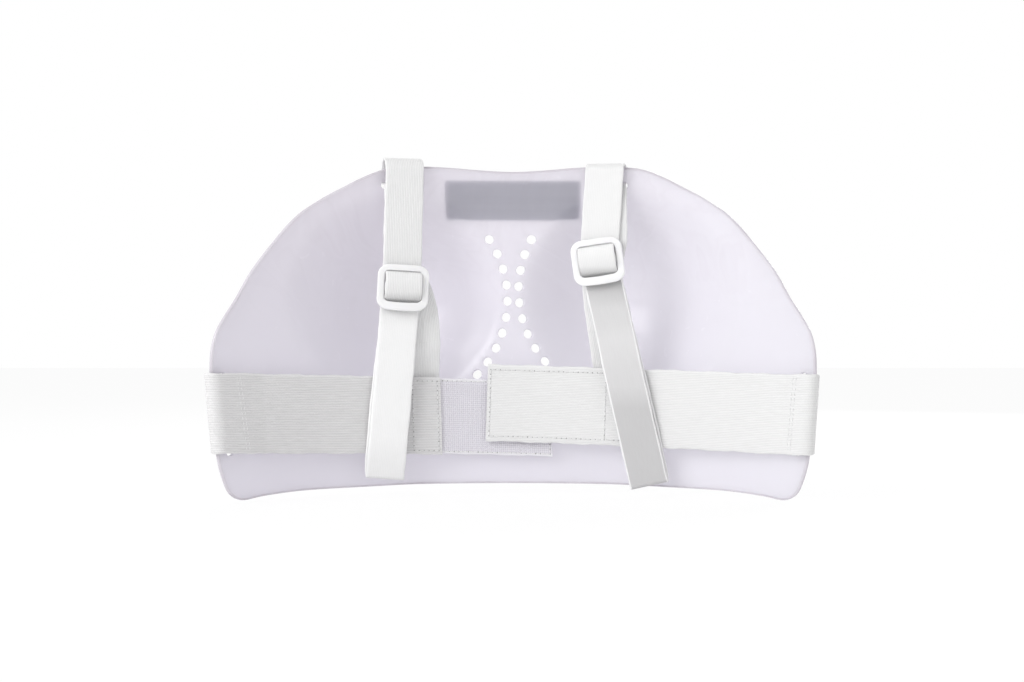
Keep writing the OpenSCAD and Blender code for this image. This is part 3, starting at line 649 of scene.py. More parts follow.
def build_shell():
    half = EDGE
    loop = [(x, z) for x, z in half] + [(-x, z) for x, z in half[-2:0:-1]]
    outline = smooth(loop, 2.0, closed=True, sub=10)
    holes = []
    for s in (-1, 1):
        for i in range(10):
            a = math.radians((33.6 if s < 0 else 27.6) - i * 8.6)
            px = s * (CX - (CR + 0.5) * math.cos(a))
            pz = CZ + (0 if s < 0 else 6.4) + (CR + 0.5) * math.sin(a)
            t = np.arange(22) / 22 * 2 * math.pi
            holes.append(np.stack([px + 3.0 * np.cos(t), pz + 3.0 * np.sin(t)], 1))
        holes.append(resample(stadium(SLOT_X[s], SLOT_Z, SLOT_L, SLOT_H, 0.0), 1.6, True))
        d = (4 + 2.4) * math.cos(SIDE_H)
        q = stadium(0, 0, 52, 4.8 * math.cos(SIDE_H), math.pi / 2, 9)
        ct, st = math.cos(TURN_TILT[s]), math.sin(TURN_TILT[s])
        q = np.stack([q[:, 0] * ct + q[:, 1] * st, -q[:, 0] * st + q[:, 1] * ct], 1)
        q = np.stack([s * (SIDE_C[0] - d + q[:, 0]), SIDE_C[2] + q[:, 1]], 1)
        holes.append(resample(q, 1.6, True))

    def area(p):
        return 0.5 * float(np.sum(p[:, 0] * np.roll(p[:, 1], -1) - np.roll(p[:, 0], -1) * p[:, 1]))

    loops = [(outline if area(outline) > 0 else outline[::-1], 1.25, 1)]
    loops += [(h if area(h) > 0 else h[::-1], 0.6, -1) for h in holes]

    def normals2(p):
        t = np.roll(p, -1, 0) - np.roll(p, 1, 0)
        t = t / np.linalg.norm(t, axis=1, keepdims=True)
        return np.stack([t[:, 1], -t[:, 0]], 1)  # outwards for anticlockwise loops

    flat = []
    for p, r, kind in loops:
        flat.append((p - kind * r * normals2(p)) if kind > 0 else (p + r * normals2(p)))
    coords, edges = [], []
    for q in flat:
        o = len(coords)
        coords += [tuple(c) for c in q]
        edges += [(o + i, o + (i + 1) % len(q)) for i in range(len(q))]
    nb = len(coords)
    step = 2.7
    # hexagonal fill inside the outline and clear of every loop
    from_loops = np.vstack(flat)
    gx = np.arange(-190, 190, step)
    gz = np.arange(-110, 112, step * 0.866)
    pts = []
    oc = np.array(flat[0])
    for r_i, z in enumerate(gz):
        xs = gx + (step / 2 if r_i % 2 else 0)
        a, b = oc, np.roll(oc, -1, 0)
        hit = (a[:, 1] > z) != (b[:, 1] > z)
        cross = a[hit, 0] + (z - a[hit, 1]) * (b[hit, 0] - a[hit, 0]) / (b[hit, 1] - a[hit, 1])
        inside = (cross[None, :] > xs[:, None]).sum(1) % 2 == 1
        xs = xs[inside]
        if len(xs) == 0:
            continue
        d = np.sqrt(((np.stack([xs, np.full_like(xs, z)], 1)[:, None] - from_loops[None]) ** 2).sum(-1)).min(1)
        pts += [(x, z) for x, dd in zip(xs, d) if dd > step * 0.55]
    hp = [np.array(q) for q in flat[1:]]

    def in_hole(x, z):
        for q in hp:
            lo, hi = q.min(0), q.max(0)
            if lo[0] <= x <= hi[0] and lo[1] <= z <= hi[1]:
                a, b = q, np.roll(q, -1, 0)
                hit = (a[:, 1] > z) != (b[:, 1] > z)
                cr = a[hit, 0] + (z - a[hit, 1]) * (b[hit, 0] - a[hit, 0]) / (b[hit, 1] - a[hit, 1])
                if (cr > x).sum() % 2 == 1:
                    return True
        return False

    pts = [p for p in pts if not in_hole(*p)]
    coords += pts
    res = geometry.delaunay_2d_cdt([Vector(c) for c in coords], edges, [], 0, 1e-6)
    vs = np.array([tuple(v) for v in res[0]])
    tris = [f for f in res[2]]
    cen = np.array([vs[list(f)].mean(0) for f in tris])

    def inside_poly(q, P):
        a, b = q, np.roll(q, -1, 0)
        out = np.zeros(len(P), bool)
        for k in range(len(q)):
            c = (a[k, 1] > P[:, 1]) != (b[k, 1] > P[:, 1])
            with np.errstate(divide="ignore", invalid="ignore"):
                xx = a[k, 0] + (P[:, 1] - a[k, 1]) * (b[k, 0] - a[k, 0]) / (b[k, 1] - a[k, 1])
            out ^= c & (xx > P[:, 0])
        return out

    keep = inside_poly(np.array(flat[0]), cen)
    for q in hp:
        keep &= ~inside_poly(q, cen)
    tris = [f for f, k in zip(tris, keep) if k]
    # map the input loop points to the output vertices
    orig = {}
    for i, src in enumerate(res[3]):
        for s_ in src:
            orig[s_] = i
    nv = len(vs)
    V = [lifted(vs[:, 0], vs[:, 1], np.zeros(nv), look), lifted(vs[:, 0], vs[:, 1], np.full(nv, T), look)]
    N = [-out_dir(vs[:, 0], vs[:, 1], look), out_dir(vs[:, 0], vs[:, 1], look)]
    F = [tuple(f) for f in tris] + [tuple(i + nv for i in f[::-1]) for f in tris]
    rim = []
    V, N = np.vstack(V), np.vstack(N)
    o = 0
    for (p, r, kind), q in zip(loops, flat):
        m = len(q)
        ids = [orig[o + i] for i in range(m)]
        o += m
        n2 = normals2(p)
        prof = [(-75, ), (-50, ), (-25, ), (0, ), (25, ), (50, ), (75, )] if kind > 0 else [(-60, ), (-25, ), (25, ), (60, )]
        rows = [ids]
        q = vs[ids]
        for (a,) in prof:
            ca, sa = math.cos(math.radians(a)), math.sin(math.radians(a))
            pos = q + kind * n2 * r * ca
            # hole walls: straight middle with rounded lips
            off = T / 2 + T / 2 * sa if kind > 0 else (0.6 * (1 + sa) if a < 0 else T - 0.6 * (1 - sa))
            P = lifted(q[:, 0], q[:, 1], np.full(m, off), look) + np.stack([kind * n2[:, 0] * r * ca, 0 * n2[:, 0], kind * n2[:, 1] * r * ca], 1)
            slope = out_dir(q[:, 0], q[:, 1], look)
            # keep the rim square to the wall: shift along the tangent plane only
            P[:, 1] -= (slope[:, 0] * kind * n2[:, 0] + slope[:, 2] * kind * n2[:, 1]) * r * ca / slope[:, 1]
            start = len(V)
            V = np.vstack([V, P])
            d3 = np.stack([kind * n2[:, 0], -(slope[:, 0] * kind * n2[:, 0] + slope[:, 2] * kind * n2[:, 1]) / slope[:, 1], kind * n2[:, 1]], 1)
            N = np.vstack([N, unit(unit(d3) * ca + slope * sa)])
            rows.append(list(range(start, start + m)))
        rows.append([i + nv for i in ids])
        for a_, b_ in zip(rows[:-1], rows[1:]):
            for i in range(m):
                j = (i + 1) % m
                if kind > 0:
                    rim.append(len(F))
                F.append((a_[i], b_[i], b_[j], a_[j]) if kind > 0 else (a_[i], a_[j], b_[j], b_[i]))
    ob = make("shell_moulding", V, F, M_SHELL, normals=None, sharp=80)
    ob.data.materials.append(M_RIM)
    idx = np.zeros(len(ob.data.polygons), np.int32)
    idx[rim] = 1
    ob.data.polygons.foreach_set("material_index", idx)
    return ob


shell = build_shell()
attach(shell, "shell"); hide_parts("shell")


# ------------------------------------------------------------------ badge
def build_badge():
    nx, nz, w, h, r = 60, 18, 44.0, 12.7, 2.0
    zc = 71.4 + h
    V, UV = [], []
    us, vs_ = np.linspace(-1, 1, nx + 1), np.linspace(-1, 1, nz + 1)
    for lay, off in ((0, T + 0.02), (1, T + 0.55)):
        for a in us:
            for b in vs_:
                x, z = a * w, b * h
                # rounded corners
                ex, ez = max(0, abs(x) - (w - r)), max(0, abs(z) - (h - r))
                d = math.hypot(ex, ez)
                if d > r:
                    x = math.copysign(w - r + ex * r / d, x); z = math.copysign(h - r + ez * r / d, z)
                shrink = 0.25 if lay else 0.0
                x *= 1 - shrink / w; z *= 1 - shrink / h
                V.append(lifted(x, zc + z, off, look)); UV.append((x, z))
    m = (nx + 1) * (nz + 1)
    F = []
    idx = lambda i, k: i * (nz + 1) + k
    for i in range(nx):
        for k in range(nz):
            q = (idx(i, k), idx(i + 1, k), idx(i + 1, k + 1), idx(i, k + 1))
            F.append(q); F.append(tuple(a + m for a in q[::-1]))
    b = [idx(i, 0) for i in range(nx)] + [idx(nx, k) for k in range(nz)] + [idx(i, nz) for i in range(nx, 0, -1)] + [idx(0, k) for k in range(nz, 0, -1)]
    for i in range(len(b)):
        j = (i + 1) % len(b)
        F.append((b[i], b[i] + m, b[j] + m, b[j]))
    return make("badge_blank", V, F, M_BADGE, UV, sharp=50)


badge = build_badge()
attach(badge, "shell"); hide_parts("label_patch")

# ------------------------------------------------------------------ waist band
BW, BT = 50.0, 1.4
SEAM = 160.0
DRIFT = {-1: math.radians(1.6), 1: math.radians(1.8)}


def band_y(x):
    return -11 - 66 * np.minimum(1, np.abs(x) / 182) ** 2


def lap(x):
    return -2.6 * np.clip((SEAM - x) / (SEAM - 30), 0, 1)


def centre_z(s, x):
    """Height of the band's middle line at |x|, drifting beyond the seam."""
    sx = s * np.asarray(x, float)
    d = np.clip(SEAM - sx, 0, None)
    up = 0.8 * np.clip((sx - 150) / 28, 0, 1) if s < 0 else 0.0
    return SIDE_Z + up + (-1 if s < 0 else 1) * d * math.tan(DRIFT[s])


def band_across(s, x, n):
    """Width axis: upright, tilted with the side bar near the edge and with the drift beyond the seam."""
    sx = s * np.asarray(x, float)
    t = np.clip((sx - 135) / 40, 0, 1)
    t = t * t * (3 - 2 * t)
    ax = s * np.sin(TURN_TILT[s]) * t + s * np.sin(DRIFT[s]) * (1 - t)
    ay = np.sin(SIDE_LEAN) * t
    return unit(np.stack([ax, ay, np.ones(n)], 1))


def band_path(s, x_free):
    """Free end, front layer, turn round the side bar through the slot, and the turned-back end."""
    c = SIDE_C
    fwd = lap if s > 0 else (lambda x: 0 * x)
    xs = np.linspace(x_free if s > 0 else -x_free, 156, 60)
    front = np.stack([xs, band_y(xs) + fwd(xs) + BT / 2], 1)
    r = 6.45
    tight = 0.75 if s > 0 else 0.88
    ring = [(c[0] + r * math.cos(math.radians(a)) * (tight if abs(a) < 90 else 1.0), c[1] + r * math.sin(math.radians(a))) for a in range(-126, 150, 7)]
    back = [(176.6, -68.9), (174.6, -70.2), (171.6, -68.9), (167, -65.2), (160, -60.1), (154.5, -56.4), (150, -53.6)]
    k = np.linspace(0, 1, 13)[1:-1, None]
    straight = front[-1] * (1 - k) + np.array(ring[0]) * k + np.array([-0.3, 0.42]) * (k * (1 - k))
    pts = np.vstack([front, straight, ring, back])
    pts = smooth(resample(pts, 1.8), 1.3, sub=6)
    x = s * pts[:, 0]
    z = centre_z(s, x)
    ac = band_across(s, x, len(x))
    # the lean of the side bar, so that the turn stays round it
    t = np.clip((np.abs(x) - 150) / 25, 0, 1)
    return np.stack([x, pts[:, 1], z], 1), ac


def plain_band(s, name, body, x_free, node):
    p, ac = band_path(s, x_free)
    ob = ribbon(name, p, ac, BW, BT, M_BAND if s < 0 else M_BAND_R_LIT, nu=30, ripple=0.22, seed=11 + s)
    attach(ob, body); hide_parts(node)
    return ob


left_band = plain_band(-1, "left_waist_webbing", "left_band", -46.5, "left_waist_band")
right_band = plain_band(1, "right_waist_webbing", "right_band", -17.0, "right_waist_band")


def tape(s, name, x0, x1, off, thick, width, material, body, node, seed):
    xs = np.linspace(x0, x1, 60)
    fwd = lap(xs) if s > 0 else 0 * xs
    y = band_y(xs) + fwd + off + thick / 2
    z = centre_z(s, xs)
    p = np.stack([xs, y, z], 1)
    ac = band_across(s, xs, len(xs))
    ob = ribbon(name, p, ac, width, thick, material, nu=30, ripple=0.18, seed=seed)
    # pattern axes: u along, v across
    lay = ob.data.uv_layers[0]
    a = np.zeros(len(lay.data) * 2, np.float32)
    lay.data.foreach_get("uv", a)
    a = a.reshape(-1, 2)[:, ::-1].copy()
    lay.data.foreach_set("uv", a.ravel())
    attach(ob, body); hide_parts(node)
    return ob


hook = tape(-1, "hook_tape_base", -66, 25, BT + 0.05, 0.8, 49, M_HOOK, "left_band", "hook_tape", 3)
loop_ = tape(1, "loop_tape_pile", 59, -16, BT + 0.05, 1.45, 46, M_LOOP, "right_band", "loop_tape", 4)


def build_hooks():
    """Field of small moulded hooks on the front of the hook tape."""
    V, F = [], []
    for i, x in enumerate(np.arange(-44.5, 23, 1.55)):
        for k, h in enumerate(np.arange(-21.2, 21.3, 1.45)):
            xx = x + (0.77 if k % 2 else 0) + rng.uniform(-0.12, 0.12)
            hh = h + rng.uniform(-0.12, 0.12)
            s_ = float(band_y(xx + 0.5) - band_y(xx - 0.5))
            tx = unit([1, s_, 0]); nf = unit([s_, -1, 0])
            c = np.array([xx, float(band_y(xx)) + BT + 0.07, float(centre_z(-1, xx)) + hh])
            d = 1 if (i + k) % 2 else -1
            prof = [(0, -0.05, 0.20), (0.0, 0.30, 0.17), (0.10 * d, 0.52, 0.15), (0.32 * d, 0.60, 0.12), (0.46 * d, 0.45, 0.08)]
            o = len(V)
            for (a, b, r) in prof:
                for q in ((-r, -r), (r, -r), (r, r), (-r, r)):
                    V.append(c + tx * (a + q[0] * 0.9) + nf * b + np.array([0, 0, q[1]]))
            for j in range(len(prof) - 1):
                for q in range(4):
                    F.append((o + j * 4 + q, o + j * 4 + (q + 1) % 4, o + (j + 1) * 4 + (q + 1) % 4, o + (j + 1) * 4 + q))
            F.append((o + 3, o + 2, o + 1, o)); e = o + (len(prof) - 1) * 4
            F.append((e, e + 1, e + 2, e + 3))
    uv = [(v[0], v[2]) for v in V]
    ob = make("hook_tape_hooks", V, F, M_HOOK, uv, sharp=50)
    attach(ob, "left_band")
    return ob


build_hooks()


def on_band(s, x, h, extra=0.0):
    """Point on the band's front face, h above its middle line."""
    x = np.asarray(x, float); h = np.broadcast_to(np.asarray(h, float), x.shape)
    fwd = lap(x) if s > 0 else 0 * x
    ac = band_across(s, x, len(x))
    return np.stack([x, band_y(x) + fwd + extra, centre_z(s, x)], 1) + ac * h[:, None]


def line_x(s, x0, x1, h, extra=0.0):
    xs = np.linspace(x0, x1, 40)
    p = on_band(s, xs, h, extra)
    sl = (band_y(xs + 0.5) - band_y(xs - 0.5))
    return p, unit(np.stack([sl, -np.ones_like(sl), 0 * sl], 1))


def line_h(s, x, h0, h1, extra=0.0):
    hs = np.linspace(h0, h1, 20)
    xs = np.full(20, float(x))
    p = on_band(s, xs, hs, extra)
    sl = float(band_y(x + 0.5) - band_y(x - 0.5))
    return p, np.repeat(unit([[sl, -1, 0]]), 20, 0)


def needle_hole_shade(points, normals, pitch=3.1):
    """Small dark discs where the thread goes into the cloth: real needle holes, darkened as painted shade."""
    p = resample(points, pitch)
    up = unit(np.asarray(normals, float)[len(normals) // 2])
    t = unit(p[-1] - p[0])
    q = np.cross(up, t)
    V, F = [], []
    for c in p:
        o = len(V)
        r = rng.uniform(0.16, 0.46)
        for h in (-0.25, 0.08):
            for k in range(6):
                a = math.pi * k / 3
                V.append(c + up * h + t * (math.cos(a) * r * 0.9) + q * (math.sin(a) * r * 1.25))
        F += [(o + k, o + (k + 1) % 6, o + 6 + (k + 1) % 6, o + 6 + k) for k in range(6)]
        F += [tuple(o + k for k in range(6))[::-1], tuple(o + 6 + k for k in range(6))]
    return V, F


def pit_shade_mat():
    m, nt = mat("needle_pit_shade")
    g = G(nt)
    co = g.n("ShaderNodeTexCoord")
    # painted shade: the grey of the pits stands for the shade in the needle holes
    c = g.mix(g.noise(500.0, co.outputs["Object"]), (0.30, 0.30, 0.30), (0.48, 0.48, 0.47))
    p = g.n("ShaderNodeBsdfPrincipled", i_Roughness=0.9)
    g.l(c, p.inputs["Base Color"])
    g.out(p.outputs[0])
    return m


M_PIT_SHADE = pit_shade_mat()


def seam(name, lines, body, node):
    V, F = merge([stitches(name, p, n) for p, n in lines])
    nf = len(F)
    V, F = merge([(V, F)] + [needle_hole_shade(p, n) for p, n in lines])
    ob = make(name, V, F, M_THREAD, sharp=70)
    ob.data.materials.append(M_PIT_SHADE)
    idx = np.zeros(len(ob.data.polygons), np.int32)
    idx[nf:] = 1
    ob.data.polygons.foreach_set("material_index", idx)
    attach(ob, body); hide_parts(node)


def line_turn(s, x, h0, h1, skew=0.0):
    """Line across the straight layer between the side turn and the seam, on its front face."""
    hs = np.linspace(h0, h1, 20)
    xx = x + skew * hs / 25
    t = (xx - 155.6) / 22.9
    y = -58.65 - 18.2 * t
    z = centre_z(s, s * xx)
    ac = band_across(s, s * xx, len(xx))
    p = np.stack([s * xx, y, z], 1) + ac * hs[:, None]
    return p, np.repeat(unit([[-s * 0.62, -0.785, 0]]), 20, 0)


seam("left_turnback_stitches", [line_turn(-1, 166.4, -23.4, 23.4, 1.2), line_turn(-1, 168.2, -23.4, 23.4, 1.2)], "left_band", "left_side_seam")
seam("right_turnback_stitches", [line_turn(1, 171.5, -23.4, 23.4, 0.4), line_turn(1, 173.2, -23.4, 23.4, 0.4)], "right_band", "right_side_seam")
seam("left_anchor_stitches", [line_h(-1, -48.5, -22.5, 22.5), line_h(-1, -64.5, -22.5, 22.5), line_x(-1, -64.5, -48.5, 22.5), line_x(-1, -64.5, -48.5, -22.5)], "left_band", "left_anchor_seam")
seam("hook_tape_stitches", [line_x(-1, -45, 23.5, 22.9, BT + 0.05), line_x(-1, -45, 23.5, -22.9, BT + 0.05), line_h(-1, 23.6, -22.8, 22.8, BT + 0.05)], "left_band", "hook_tape_seam")
seam("loop_tape_stitches", [line_x(1, -15, 57, 21.5), line_x(1, -15, 57, -21.5), line_h(1, -15, -21.5, 21.5)], "right_band", "loop_tape_seam")
seam("right_anchor_stitches", [line_h(1, 59.5, -21.5, 21.5), line_h(1, 75, -21.5, 21.5), line_x(1, 59.5, 75, 21.5), line_x(1, 59.5, 75, -21.5)], "right_band", "right_anchor_seam")

# ------------------------------------------------------------------ shoulder straps
SW, ST = 25.0, 1.3
RL = 7.6
FRONT = -(RL + ST / 2)
ADJ_Z = {-1: 27.5 - 102.2, 1: 44.3 - 102.2}
RUN = {-1: -1.5, 1: -3.8}
TILT = {-1: -3.0, 1: 8.0}
LEAN = {-1: -5.2, 1: 13.0}
BACK = {-1: 13.5, 1: 6.5}
PART = {-1: ADJ_Z[-1] - 35.5, 1: ADJ_Z[1] - 44.5}
END = {-1: ADJ_Z[-1] - 123, 1: ADJ_Z[1] - 147.5}
TA = {-1: -8.9, 1: -11.0}
BACK_Y = {-1: 1.3, 1: 0.3}


def loop_frame(s):
    x = SLOT_X[s]
    h = math.atan(slope_x(x, 101))
    c = np.array([x, float(face(x, 101.6)) + T / 2, 102.2])
    X = np.array([math.cos(h), math.sin(h), 0]); Y = np.array([-math.sin(h), math.cos(h), 0]); Z = np.array([0, 0, 1.0])
    return c, np.stack([X, Y, Z], 0)


def to_world(s, p):
    c, R = loop_frame(s)
    return c + np.asarray(p, float) @ R


def dir_world(s, d):
    return np.asarray(d, float) @ loop_frame(s)[1]


def down(a):
    a = math.radians(a)
    return np.array([math.sin(a), 0, -math.cos(a)])


def cross(a):
    a = math.radians(a)
    return np.array([math.cos(a), 0, math.sin(a)])


def adj_centre(s):
    """Local place of the adjuster's middle, at the plane y = 0 of the loop frame."""
    return down(RUN[s]) * (-ADJ_Z[s])


def strap_line(s):
    """Local place of the adjuster's middle."""
    A = adj_centre(s)
    return A


def path_mesh(s, name, pts, leans, material, width=SW, thick=ST, nu=16, ripple=0.10, seed=5, v0=0.0, step=1.4):
    """pts are local points; leans give the width axis at each, in degrees."""
    q = smooth(np.c_[np.asarray(pts, float), np.asarray(leans, float)], step, sub=10)
    ac = np.stack([np.cos(np.radians(q[:, 3])), 0 * q[:, 3], np.sin(np.radians(q[:, 3]))], 1)
    c, R = loop_frame(s)
    return ribbon(name, c + q[:, :3] @ R, ac @ R, width, thick, material, nu=nu, ripple=ripple, seed=seed, v0=v0)


def at_adj(s, lean_deg, y, d, off=0.0):
    """Local point d below the adjuster's middle along a lean, at depth y."""
    p = adj_centre(s) + down(lean_deg) * d + cross(lean_deg) * off
    return np.array([p[0], y, p[2]])


FOLD_A, FOLD_B = -6.05, -3.15


def build_strap(s):
    side = "left" if s < 0 else "right"
    body, band, adj = side + "_strap", side + "_band", side + "_adjuster"
    pd = ADJ_Z[s] - PART[s]  # distance from the adjuster's middle to the parting, down the lean
    # ---- upper run: in through the slot, over the bar, down in front and on to the parting
    r = -FRONT
    pts, leans = [], []
    for a in np.arange(-86, 181, 8.0):
        flat = 0.62 if s > 0 and 0 < a < 180 else 1.0
        pts.append((0, r * math.cos(math.radians(a)), r * math.sin(math.radians(a)) * flat)); leans.append(0)
    n_ring = len(pts)
    run = down(RUN[s])
    for d in (8, 16, 26, 38, 50):
        if d < -ADJ_Z[s] - 14:
            pts.append((run[0] * d, FRONT, run[2] * d)); leans.append(RUN[s])
    for d in (-10, 0, 8):
        pts.append(at_adj(s, RUN[s] + (LEAN[s] - RUN[s]) * (d + 10) / 18, FRONT, d)); leans.append(RUN[s] + (LEAN[s] - RUN[s]) * (d + 10) / 18)
    for d in np.linspace(14, pd, 6):
        pts.append(at_adj(s, LEAN[s], FRONT, d)); leans.append(LEAN[s])
    upper, lower = (M_STRAP, M_BRIGHT) if s < 0 else (M_RIGHT, M_SATIN)
    ob = path_mesh(s, side + "_strap_run", pts, leans, upper, seed=21 + s)
    ob.data.materials.append(lower)
    zc = float(to_world(s, adj_centre(s))[2]) * MM - 0.004
    me = ob.data
    cen = np.zeros(len(me.polygons) * 3)
    me.polygons.foreach_get("center", cen)
    me.polygons.foreach_set("material_index", (cen.reshape(-1, 3)[:, 2] < zc).astype(np.int32))
    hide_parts(side + "_shoulder_strap")
    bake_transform(ob)
    # ---- rear leg: from the slot down behind the run to the adjuster
    rl = [(0, r * math.cos(math.radians(-86)), r * math.sin(math.radians(-86))), (0, -1.6, -8.5), (0.0, -3.2, -10.0), (0, -4.4, -13.0), (0, -5.3, -18)]
    rr = [RUN[s]] * len(rl)
    rl = [(p[0] + (run[0] * -p[2] / run[2] * -1 if False else run[0] * (-p[2])), p[1], p[2]) if i else p for i, p in enumerate(rl)]
    rr[0] = 0
    side_shift = 0.0
    for d in (26, 34, 44):
        if d < -ADJ_Z[s] - 12:
            rl.append((run[0] * d, -6.15, run[2] * d)); rr.append(RUN[s])
    rl.append(at_adj(s, RUN[s], -6.2, -8)); rr.append(RUN[s])
    rl.append(at_adj(s, RUN[s], -6.2, -1.5)); rr.append(RUN[s])
    if s > 0:
        # this leg hangs straight down from the slot, so it shows beside the front layer
        rl = [rl[0], (0.5, -1.6, -8.5), (1.0, -3.2, -10.0), (1.4, -4.4, -13.0), (1.8, -5.3, -18), (2.0, -6.1, -26), (2.0, -6.15, -36),
              (1.9, -6.15, -46), (1.0, -6.2, ADJ_Z[s] + 6), (0.4, -6.2, ADJ_Z[s] + 1.5)]
        rr = [0, 0, 0, 0, 0, 0, 0, 0.5, 2, 3]
    ob = path_mesh(s, side + "_strap_rear", rl, rr, M_STRAP, width=SW - 0.2, seed=31 + s, ripple=0.16)
    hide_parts(side + "_strap_rear_leg")
    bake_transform(ob)
    # ---- fold behind the adjuster
    bl = BACK[s]
    cfy, rf = (FOLD_A + FOLD_B) / 2, (FOLD_B - FOLD_A) / 2
    pts, leans = [], []
    lmid = lambda t: LEAN[s] + (bl - LEAN[s]) * t
    for d in np.linspace(pd, 6, 6):
        pts.append(at_adj(s, LEAN[s], FOLD_A, d)); leans.append(LEAN[s])
    if s < 0:
        # the hanging layer bows out to the right of the tail before it drops behind the band
        lmid = lambda t: LEAN[s] + (26 - LEAN[s]) * t
        for k, a in enumerate(np.arange(180, -1, -22.5)):
            t = 0.5 * (1 - math.cos(math.pi * k / 8))
            p = at_adj(s, 0, cfy + rf * math.cos(math.radians(a)), -3.5 - rf * math.sin(math.radians(a)), 5.0 * t)
            pts.append(p); leans.append(lmid(t))
        for d, off, le in ((2, 7.8, 22), (8.5, 10.4, 16), (16, 12.1, 10), (24, 13.1, 6.5), (30, 13.5, 5), (pd, 13.8, 4.5)):
            pts.append(at_adj(s, 0, FOLD_B, d, off)); leans.append(le)
    else:
        for k, a in enumerate(np.arange(180, -1, -22.5)):
            t = 0.5 * (1 - math.cos(math.pi * k / 8))
            p = at_adj(s, lmid(t), cfy + rf * math.cos(math.radians(a)), -1 - rf * math.sin(math.radians(a)))
            pts.append(p); leans.append(lmid(t))
        for d in np.linspace(4, pd, 7):
            off = -1.0 * math.sin(math.pi * min(1, d / (pd + 12.0)))
            pts.append(at_adj(s, bl, FOLD_B, d, off)); leans.append(bl)
    ob = path_mesh(s, side + "_strap_fold", pts, leans, M_STRAP, seed=41 + s, step=0.9)
    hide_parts(side + "_strap_slack_fold")
    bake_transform(ob)
    end_off = 13.8 if s < 0 else -math.sin(math.pi * pd / (pd + 12.0))
    # ---- tail in front of the band: down, fold, and back up to the parting
    ta, tb = TA[s], TA[s] + 2.0
    de = ADJ_Z[s] - END[s]
    dtop = 51.0 if s < 0 else 66.0
    pts, leans = [], []
    for d, y in ((pd, FRONT), (pd + 5, FRONT * 0.85 + ta * 0.15), (dtop, ta), (dtop + 12, ta - 0.3), ((dtop + de) / 2, ta - 0.4), (de - 8, ta - 0.1), (de - 2.2, ta)):
        pts.append(at_adj(s, LEAN[s], y, d)); leans.append(LEAN[s])
    for a in np.arange(205, 336, 26):
        pts.append(at_adj(s, LEAN[s], (ta + tb) / 2 + 1.15 * math.cos(math.radians(a)), de - 1.3 - 1.15 * math.sin(math.radians(a)), 0.15)); leans.append(LEAN[s])
    o2 = -0.9 if s < 0 else 0.9
    for d, y, o in ((de - 2.2, tb, 0.3 * o2), (de - 8, tb, o2), ((dtop + de) / 2, tb - 0.1, 1.4 * o2), (dtop + 8, tb, o2), (dtop - 2, tb * 0.7 + FOLD_A * 0.3, 0.5 * o2), (pd + 4, FOLD_A - 0.1, 0.1 * o2), (pd, FOLD_A, 0)):
        pts.append(at_adj(s, LEAN[s], y, d, o)); leans.append(LEAN[s])
    ob = path_mesh(s, side + "_strap_tail_webbing", pts, leans, M_SATIN if s > 0 else M_BRIGHT, seed=51 + s, step=1.1)
    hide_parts(side + "_strap_tail")
    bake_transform(ob)
    # ---- end sewn behind the band
    by = BACK_Y[s]
    dd = 56.0 if s < 0 else 71.0
    pts, leans = [], []
    if s < 0:
        ends = ((pd, FOLD_B, 13.8), (pd + 6, FOLD_B + 0.8, 14.0), (dd, by, 14.2), (dd + 8, by, 14.4), (dd + 17, by, 14.7))
        el = 0
    else:
        ends = ((pd, FOLD_B, end_off), (pd + 6, FOLD_B + 0.8, end_off * 0.8), (dd, by, 0), (dd + 8, by, 0), (dd + 17, by, 0))
        el = bl
    for d, y, o in ends:
        pts.append(at_adj(s, el, y, d, o)); leans.append(bl if s > 0 else 5)
    ob = path_mesh(s, side + "_strap_end_webbing", pts, leans, M_STRAP, seed=61 + s, step=1.2)
    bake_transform(ob)
    build_adjuster(s, side, adj)


def frame_at_adj(s, lean_deg):
    """World axes at the adjuster: across, towards the wearer's side, up."""
    X, Zv = dir_world(s, cross(lean_deg)), dir_world(s, -down(lean_deg))
    Y = dir_world(s, (0, 1, 0))
    return to_world(s, adj_centre(s)), X, Y, Zv


BAR_Y = -11.7


def sweep_closed(path, up, w, h, n=14, power=2.6):
    """Closed tube with a rounded-rectangle section: w in the plane of the loop, h along up."""
    m = len(path)
    tan = unit(np.roll(path, -1, 0) - np.roll(path, 1, 0))
    side = unit(np.cross(tan, up))
    V, F = [], []
    for i in range(m):
        for k in range(n):
            a = 2 * math.pi * k / n
            ca, sa = math.cos(a), math.sin(a)
            u = math.copysign(abs(ca) ** (2 / power), ca) * w[i] / 2
            v = math.copysign(abs(sa) ** (2 / power), sa) * h[i] / 2
            V.append(path[i] + side[i] * u + up[i] * v)
    for i in range(m):
        j = (i + 1) % m
        for k in range(n):
            k2 = (k + 1) % n
            F.append((i * n + k, j * n + k, j * n + k2, i * n + k2))
    return V, F


